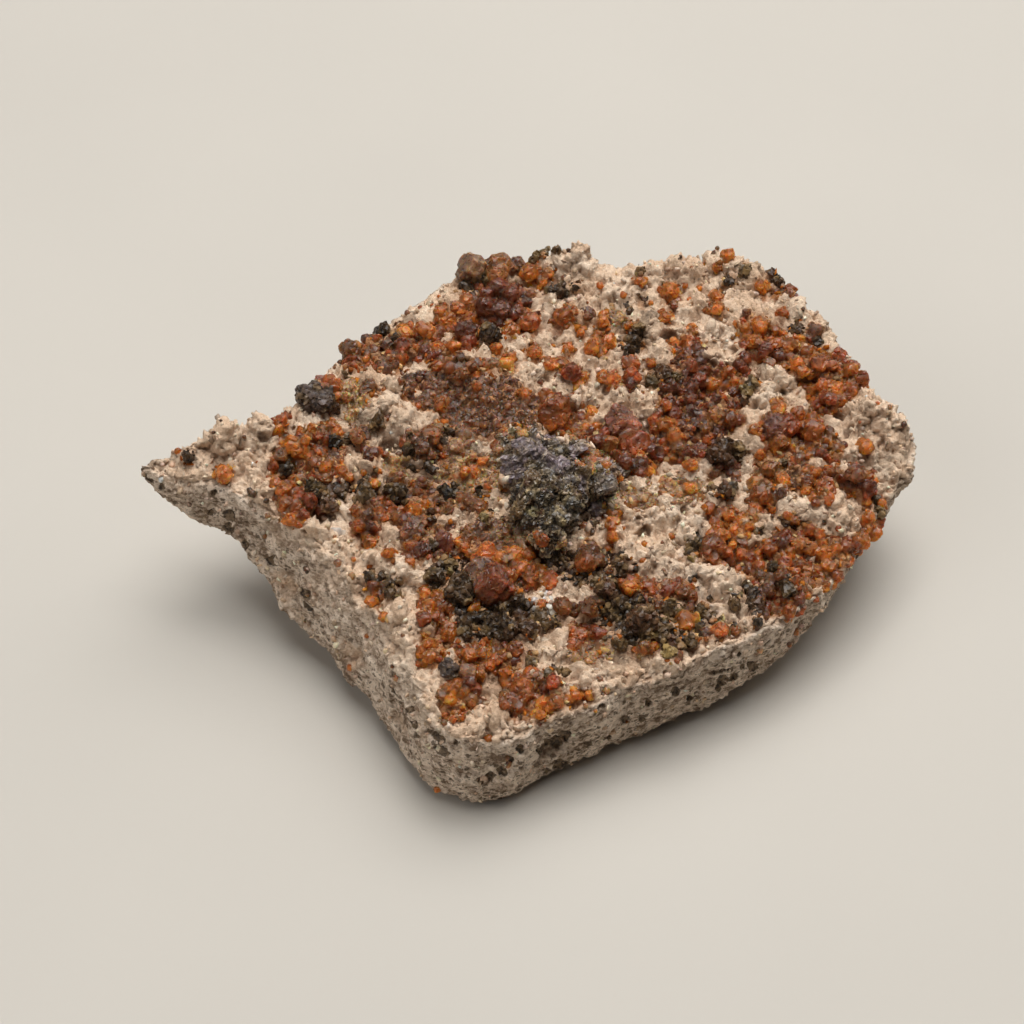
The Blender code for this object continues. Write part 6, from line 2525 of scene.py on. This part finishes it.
@dataclass
class DarkCluster:
    """The dark mass near the middle: violet-grey blocks above, green-black and fibrous below.

    Split is the row of the view where the upper part ends, and border how many pixels wide the overgrown
    edge is on each side of the outline. Blocks are a column, a row, a radius in millimetres and a tint. The
    patch of warm crystals is a column, a row and a spread in pixels. The window is two columns and two rows.
    Each of the border's mixes is used up to its share of the random draws.
    """

    crystals: Crystals
    voxel: float = 0.2
    softening: int = 5
    triangles: int = 60_000
    seed: int = 78
    split: float = 482.0
    border: float = 7.0
    edge_spread: float = 2.0
    bend_spacing: float = 1.5
    block_size: float = 1.8
    chip_size: float = 0.7
    fibre_spacing: float = 0.8
    heights: tuple[float, ...] = (1.3, 0.5, 0.4, 0.2)
    hollow_reach: int = 6
    hollow_strength: float = 1.5
    brightest: float = 0.9
    sunk: Pair = (-0.55, 0.15)
    worn_from: float = 0.7
    patch: Spot = (592.0, 459.0, 7.0)
    patch_count: int = 90
    patch_mix: Mix = Mix((Tint.SAND, Tint.TAN, Tint.AMBER), (Form.TRAPEZOHEDRON,), 0.25, 0.5)
    window: Span = (486, 628, 420, 556)
    count: int = 560
    upper_mix: Mix = Mix((Tint.VIOLET_GREY, Tint.SLATE, Tint.VIOLET_GREY, Tint.SLATE, Tint.OLIVE,
                          Tint.GREEN_BLACK), (Form.BLOCK, Form.CRUMB, Form.DODECAHEDRON), 0.4, 1.0)
    lower_mix: Mix = Mix((Tint.GREEN_BLACK, Tint.BLACK, Tint.BARK, Tint.SLATE, Tint.OLIVE, Tint.STRAW),
                         (Form.BLOCK, Form.BLADE, Form.FLAKE), 0.3, 0.95)
    border_mixes: tuple[tuple[float, str, Mix], ...] = (
        (0.4, "garnets", Mix((Tint.RUST, Tint.UMBER, Tint.SAND, Tint.TAN, Tint.ORANGE), (Form.TRAPEZOHEDRON,),
                             0.35, 0.85)),
        (0.7, "crumbs", Mix((Tint.CREAM, Tint.CHALK), (Form.CRUMB,), 0.25, 0.6)),
        (1.0, "crystals", Mix((Tint.OLIVE, Tint.STRAW, Tint.SLATE, Tint.FAWN), (Form.CRUMB,), 0.3, 0.7)),
    )
    blocks: tuple[tuple[float, float, float, Tint], ...] = (
        (525, 447, 1.5, Tint.VIOLET_GREY), (513, 466, 1.6, Tint.VIOLET_GREY),
        (556, 468, 1.5, Tint.VIOLET_GREY), (539, 455, 1.3, Tint.VIOLET_GREY), (502, 441, 1.1, Tint.OLIVE),
        (606, 484, 1.5, Tint.SLATE), (595, 505, 1.3, Tint.VIOLET_GREY), (576, 482, 1.4, Tint.VIOLET_GREY),
        (545, 500, 1.5, Tint.GREEN_BLACK), (560, 518, 1.6, Tint.GREEN_BLACK), (533, 483, 1.4, Tint.OLIVE),
        (519, 505, 1.3, Tint.OLIVE), (530, 521, 1.2, Tint.GREEN_BLACK), (572, 503, 1.3, Tint.BLACK),
    )
    outline: tuple[Pixel, ...] = ((496, 450), (516, 432), (560, 430), (590, 452), (616, 478), (610, 506),
                                  (586, 530), (560, 546), (530, 540), (510, 516), (504, 482))

    def __post_init__(self) -> None:
        """Starts the noise, the random draws and the batches of its crystals."""
        self.noise = Noise(self.seed)
        self.draw = np.random.default_rng(self.seed)
        words = ("crystals", "garnets", "crumbs")
        self.batches = {word: Batch(self.crystals.kit, self.seed + more) for more, word in enumerate(words)}

    def build(self) -> None:
        """Makes the mass, then the crystals on it."""
        finishes = self.crystals.finishes
        mesh = self._mass()
        finish_piece("dark_cluster_mass", mesh, finishes[DARK.name], "dark_mineral", "dark_cluster")
        self._grow(Ground(mesh))
        dark, warm, crumbs = self.batches.values()
        dark.make_grown("dark_cluster_crystals", CLUSTER_SKIN, finishes[DARK.name], "dark_mineral")
        warm.make_grown("dark_cluster_garnets", GARNET_SKIN, finishes[GARNET.name], "garnet_orange")
        crumbs.make("dark_cluster_crumbs", finishes[PALE.name], "matrix")

    def _mass(self) -> Mesh:
        """Makes the solid finer, and breaks it into blocks, chips and fibres.

        Returns:
            The mass's mesh.
        """
        noise = self.noise
        mesh = fine_surface("dark_cluster", self.voxel, self.softening)
        places, normals = read_points(mesh)
        bent = noise.bends(places, self.bend_spacing)
        _, _, block = noise.cells(places + 0.5 * bent, self.block_size)
        near, second, chip = noise.cells(places * [1.0, 1.5, 1.0] + 0.5 * bent + 9, self.chip_size)
        fibre = noise.ridges(places * [1.0, 1.8, 1.0] + bent, self.fibre_spacing)
        blocks, chips, fibres, cracks = self.heights
        height = blocks * (block - 0.5) + chips * (chip - 0.5) + fibres * (fibre - 0.6)
        height = height + cracks * np.clip(second - near, 0, 1)
        # Painted shade: how far each point lies sunk, which darkens its colours.
        hollow_shade = Links(mesh).hollows(height, self.hollow_reach, self.hollow_strength)
        moved = np.clip((places + normals * height[:, None]) * MM, *BOX_LIMITS)
        mesh.vertices.foreach_set("co", moved.ravel())
        store_colours(mesh, "tint", self._tints(places, block, chip, fibre, hollow_shade))
        mesh.update()
        return thinned(mesh, self.triangles)

    def _tints(self, places: Array, block: Array, chip: Array, fibre: Array, hollow_shade: Array) -> Array:
        """The colours of the mass's points, with painted shade where it lies sunk and painted light where it
        stands out.

        Args:
            places: the points.
            block: the tone of the block that each belongs to.
            chip: the tone of its chip.
            fibre: how near it is to a fibre's ridge.
            hollow_shade: how far it lies sunk among its neighbours, which is painted as shade.

        Returns:
            The colours, with their alpha.
        """
        _, v = seen_at(places)
        upper = ease(self.split + 14, self.split - 10, v + 14 * self.noise.smooth(places, 3.0))[:, None]
        grey, slate, bark, black, straw = (np.array(tint.value) for tint in (
            Tint.VIOLET_GREY, Tint.SLATE, Tint.BARK, Tint.GREEN_BLACK, Tint.STRAW))
        above = grey + (slate - grey) * block[:, None]
        below = black + (1.3 * bark - black) * ease(0.35, 0.9, chip)[:, None]
        mixed = below + (above - below) * upper
        mixed = mixed + (straw * 0.75 - mixed) * (ease(0.8, 0.97, fibre) * 0.6)[:, None]
        # Painted shade where the mass lies sunk, and painted light where it stands out.
        return with_alpha(mixed * (1.5 - 1.15 * np.clip(hollow_shade, 0, 1))[:, None], self.brightest)

    def _grow(self, surface: Ground) -> None:
        """Grows blocks and flakes that stand out of the mass, and garnets and crumbs over its border.

        Args:
            surface: the mass's own surface.
        """
        draw, dark, ground = self.draw, self.batches["crystals"], self.crystals.ground
        for u, v, radius, tint in self.blocks:
            self._sink(dark, Form.BLOCK, surface.first_of(ground, u, v), radius, tint)
        for u, v in draw.normal(self.patch[:2], self.patch[2], (self.patch_count, 2)):
            self._place(self.batches["garnets"], self.patch_mix, surface.first_of(ground, u, v))
        left, right, top, bottom = self.window
        columns, rows = draw.uniform(left, right, self.count), draw.uniform(top, bottom, self.count)
        depths = depth_inside(self.outline, columns, rows) + draw.normal(0, self.edge_spread, self.count)
        for u, v, depth in zip(columns, rows, depths):
            if depth <= -self.border:
                continue
            seat = surface.first_of(ground, u, v)
            if depth < self.border:
                chance = draw.random()
                word, mix = next((word, mix) for share, word, mix in self.border_mixes if chance < share)
                self._place(self.batches[word], mix, seat)
            else:
                self._place(dark, self.upper_mix if v < self.split else self.lower_mix, seat)

    def _place(self, batch: Batch, mix: Mix, seat: Vector) -> None:
        """Sets one crystal of a mix on a seat.

        Args:
            batch: the batch that it goes to.
            mix: what it is chosen from.
            seat: its place on the surface.
        """
        tint = one_of(self.draw, mix.tints)
        form = one_of(self.draw, mix.forms)
        self._sink(batch, form, seat, self.draw.uniform(mix.least, mix.most), tint)

    def _sink(self, batch: Batch, form: Form, seat: Vector, radius: float, tint: Tint) -> None:
        """Sets a crystal on a seat, sunk in by a part of its radius."""
        middle = seat + Vector((0, 0, radius * self.draw.uniform(*self.sunk)))
        batch.add(form, middle, radius, tint, radius > self.worn_from)


@dataclass
class Scatter:
    """Small garnets over the bare rock, and the rock's own loose-looking grains, pale and stained.

    Sizes are the least and the largest radius in millimetres. Facing is how far up the rock looks there, and
    the stains are the rock's stain below which it counts as bare, or above which as stained.
    """

    crystals: Crystals
    seed: int = 33
    garnets: int = 130
    garnet_sizes: Pair = (0.2, 0.5)
    garnet_facing: float = 0.5
    garnet_stain: float = 0.3
    garnet_tints: tuple[Tint, ...] = (Tint.TAN, Tint.ORANGE, Tint.RUST, Tint.BROWN, Tint.TAN, Tint.AMBER,
                                      Tint.OLIVE)
    grains: int = 1800
    grain_sizes: Pair = (0.12, 0.3)
    grain_facing: float = 0.0
    grain_stain: float = 0.25
    cream_share: float = 0.6
    stained: int = 3000
    stained_sizes: Pair = (0.14, 0.34)
    stained_facing: float = 0.2
    stained_stain: float = 0.35
    stained_tints: tuple[Tint, ...] = (Tint.UMBER, Tint.SAND, Tint.ORANGE, Tint.TAN, Tint.SAND, Tint.RUST)

    def __post_init__(self) -> None:
        """Starts the random draws and a batch for each of the three."""
        self.draw = np.random.default_rng(self.seed)
        self.batches = [Batch(self.crystals.kit, self.seed + more) for more in (1, 2, 3)]

    def build(self) -> None:
        """Makes the small garnets, then the grains."""
        ground, ground_map, finishes = self.crystals.ground, self.crystals.map, self.crystals.finishes
        stain = ground_map.read(ground_map.stain, *ground.pixels)
        kind = ground_map.read(ground_map.kind, *ground.pixels)
        garnets, grains, stained = self.batches
        bare = (ground.normals[:, 2] > self.garnet_facing) & (stain < self.garnet_stain)
        self._strew(garnets, Form.TRAPEZOHEDRON, bare, self.garnets, self.garnet_sizes, self.garnet_tints)
        garnets.make("scattered_garnets", finishes[GARNET.name], "garnet_orange")
        above = (ground.normals[:, 2] > self.grain_facing) & (stain < self.grain_stain)
        for place in ground.sample(above, self.grains, self.draw)[0]:
            tint = Tint.CREAM if self.draw.random() < self.cream_share else Tint.CHALK
            grains.add(Form.GRAIN, place, self.draw.uniform(*self.grain_sizes), tint, False)
        rusty = (ground.normals[:, 2] > self.stained_facing) & (stain > self.stained_stain)
        rusty &= kind != ground_map.kinds.index(Kind.DRUSE)
        self._strew(stained, Form.GRAIN, rusty, self.stained, self.stained_sizes, self.stained_tints)
        stained.make("stained_grains", finishes[PALE.name], "garnet_brown")
        made = grains.make("rock_grains", finishes[PALE.name], "matrix")
        made.data.polygons.foreach_set("use_smooth", [True] * len(made.data.polygons))

    def _strew(self, batch: Batch, form: Form, chosen: Array, count: int, sizes: Pair,
               tints: Sequence[Tint]) -> None:
        """Strews crystals at random over a part of the rock.

        Args:
            batch: the batch that they go to.
            form: their form.
            chosen: True for each of the rock's triangles that they may lie on.
            count: how many.
            sizes: their least and largest radius.
            tints: what their tints are chosen from.
        """
        for place in self.crystals.ground.sample(chosen, count, self.draw)[0]:
            size = self.draw.uniform(*sizes)
            batch.add(form, place, size, one_of(self.draw, tints), False)


@dataclass
class Studio:
    """The pale floor, the soft lights and the camera.

    Lengths are in metres. Each light is a name, a place, a size and a power in watts.
    """

    floor_size: float = 3.0
    floor_colour: Colour = (0.55, 0.512, 0.454)
    room_colour: Colour = (1.0, 1.0, 1.0)
    room_strength: float = 0.04
    lights: tuple[tuple[str, Triple, float, float], ...] = (
        ("top_light", (0.1, 0.14, 1.2), 0.9, 10.9),
        ("back_light", (0.18, 0.6, 1.05), 0.9, 7.7),
        ("side_light", (0.85, 0.8, 1.0), 1.0, 4.8),
        ("front_light", (-1.0, -0.5, 0.75), 1.0, 4.3),
    )
    light_colour: Colour = (1.0, 1.0, 1.0)
    floor_darker: float = 0.97
    floor_noise: Triple = (70.0, 2.0, 0.5)
    floor_range: Pair = (0.35, 0.65)
    floor_roughness: float = 0.8
    floor_gloss: float = 0.2
    sensor: float = 36.0
    clip: Pair = (0.01, 10.0)

    def build(self) -> None:
        """Sets up the floor, the lights and the camera."""
        self._floor()
        for name, place, size, power in self.lights:
            self._area(name, place, size, power)
        self._room()
        self._camera()

    def _floor(self) -> None:
        """A wide matt floor with a faint unevenness."""
        bm = bmesh.new()
        bmesh.ops.create_grid(bm, x_segments=1, y_segments=1, size=self.floor_size / 2)
        mesh = bpy.data.meshes.new("floor")
        bm.to_mesh(mesh)
        bm.free()
        floor = add_object("floor", mesh)
        kit = NodeKit("floor_paper")
        drift = kit.span(kit.noise(*self.floor_noise), *self.floor_range)
        darker = tuple(self.floor_darker * part for part in self.floor_colour)
        kit.join(kit.mix(drift, darker, self.floor_colour), kit.shader.inputs["Base Color"])
        kit.set(Roughness=self.floor_roughness, Specular_IOR_Level=self.floor_gloss)
        mesh.materials.append(kit.material)

    def _room(self) -> None:
        """A pale room that fills the shadows."""
        world = bpy.data.worlds.new("room")
        bpy.context.scene.world = world
        world.use_nodes = True
        backdrop = world.node_tree.nodes["Background"]
        backdrop.inputs["Color"].default_value = (*self.room_colour, 1)
        backdrop.inputs["Strength"].default_value = self.room_strength

    def _area(self, name: str, place: Triple, size: float, power: float) -> None:
        """Adds a square area light that faces the specimen.

        Args:
            name: its name.
            place: where it stands.
            size: the length of its sides.
            power: its power in watts.
        """
        light = bpy.data.lights.new(name, "AREA")
        light.energy = power
        light.size = size
        light.color = self.light_colour
        holder = add_object(name, light)
        holder.location = place
        holder.rotation_euler = (-Vector(place)).to_track_quat("-Z", "Y").to_euler()

    def _camera(self) -> None:
        """The camera at the view's own angle, distance and lens."""
        data = bpy.data.cameras.new("camera")
        camera = add_object("camera", data)
        data.sensor_width = self.sensor
        data.lens = data.sensor_width * VIEW.focal / (2 * VIEW.middle)
        data.clip_start, data.clip_end = self.clip
        target = Vector(VIEW.target) * MM
        camera.location = VIEW.eye * MM
        camera.rotation_euler = (target - camera.location).to_track_quat("-Z", "Y").to_euler()
        bpy.context.scene.camera = camera
        bpy.context.scene.view_settings.view_transform = "Standard"


def main() -> None:
    """Builds the studio, the rock and then the crystals that sit on it."""
    logging.basicConfig(level=logging.INFO, format="%(message)s")
    Studio().build()
    finishes = {finish.name: finish.material() for finish in (GARNET, DARK, OLIVE, SILVER, PALE)}
    ground_map = GroundMap()
    rock = Rock(ground_map).build()
    crystals = Crystals(CrystalKit(SHAPES_SEED), Ground(rock), ground_map, finishes)
    crystals.build()
    DarkCluster(crystals).build()
    Scatter(crystals).build()


if __name__ == "__main__":
    main()
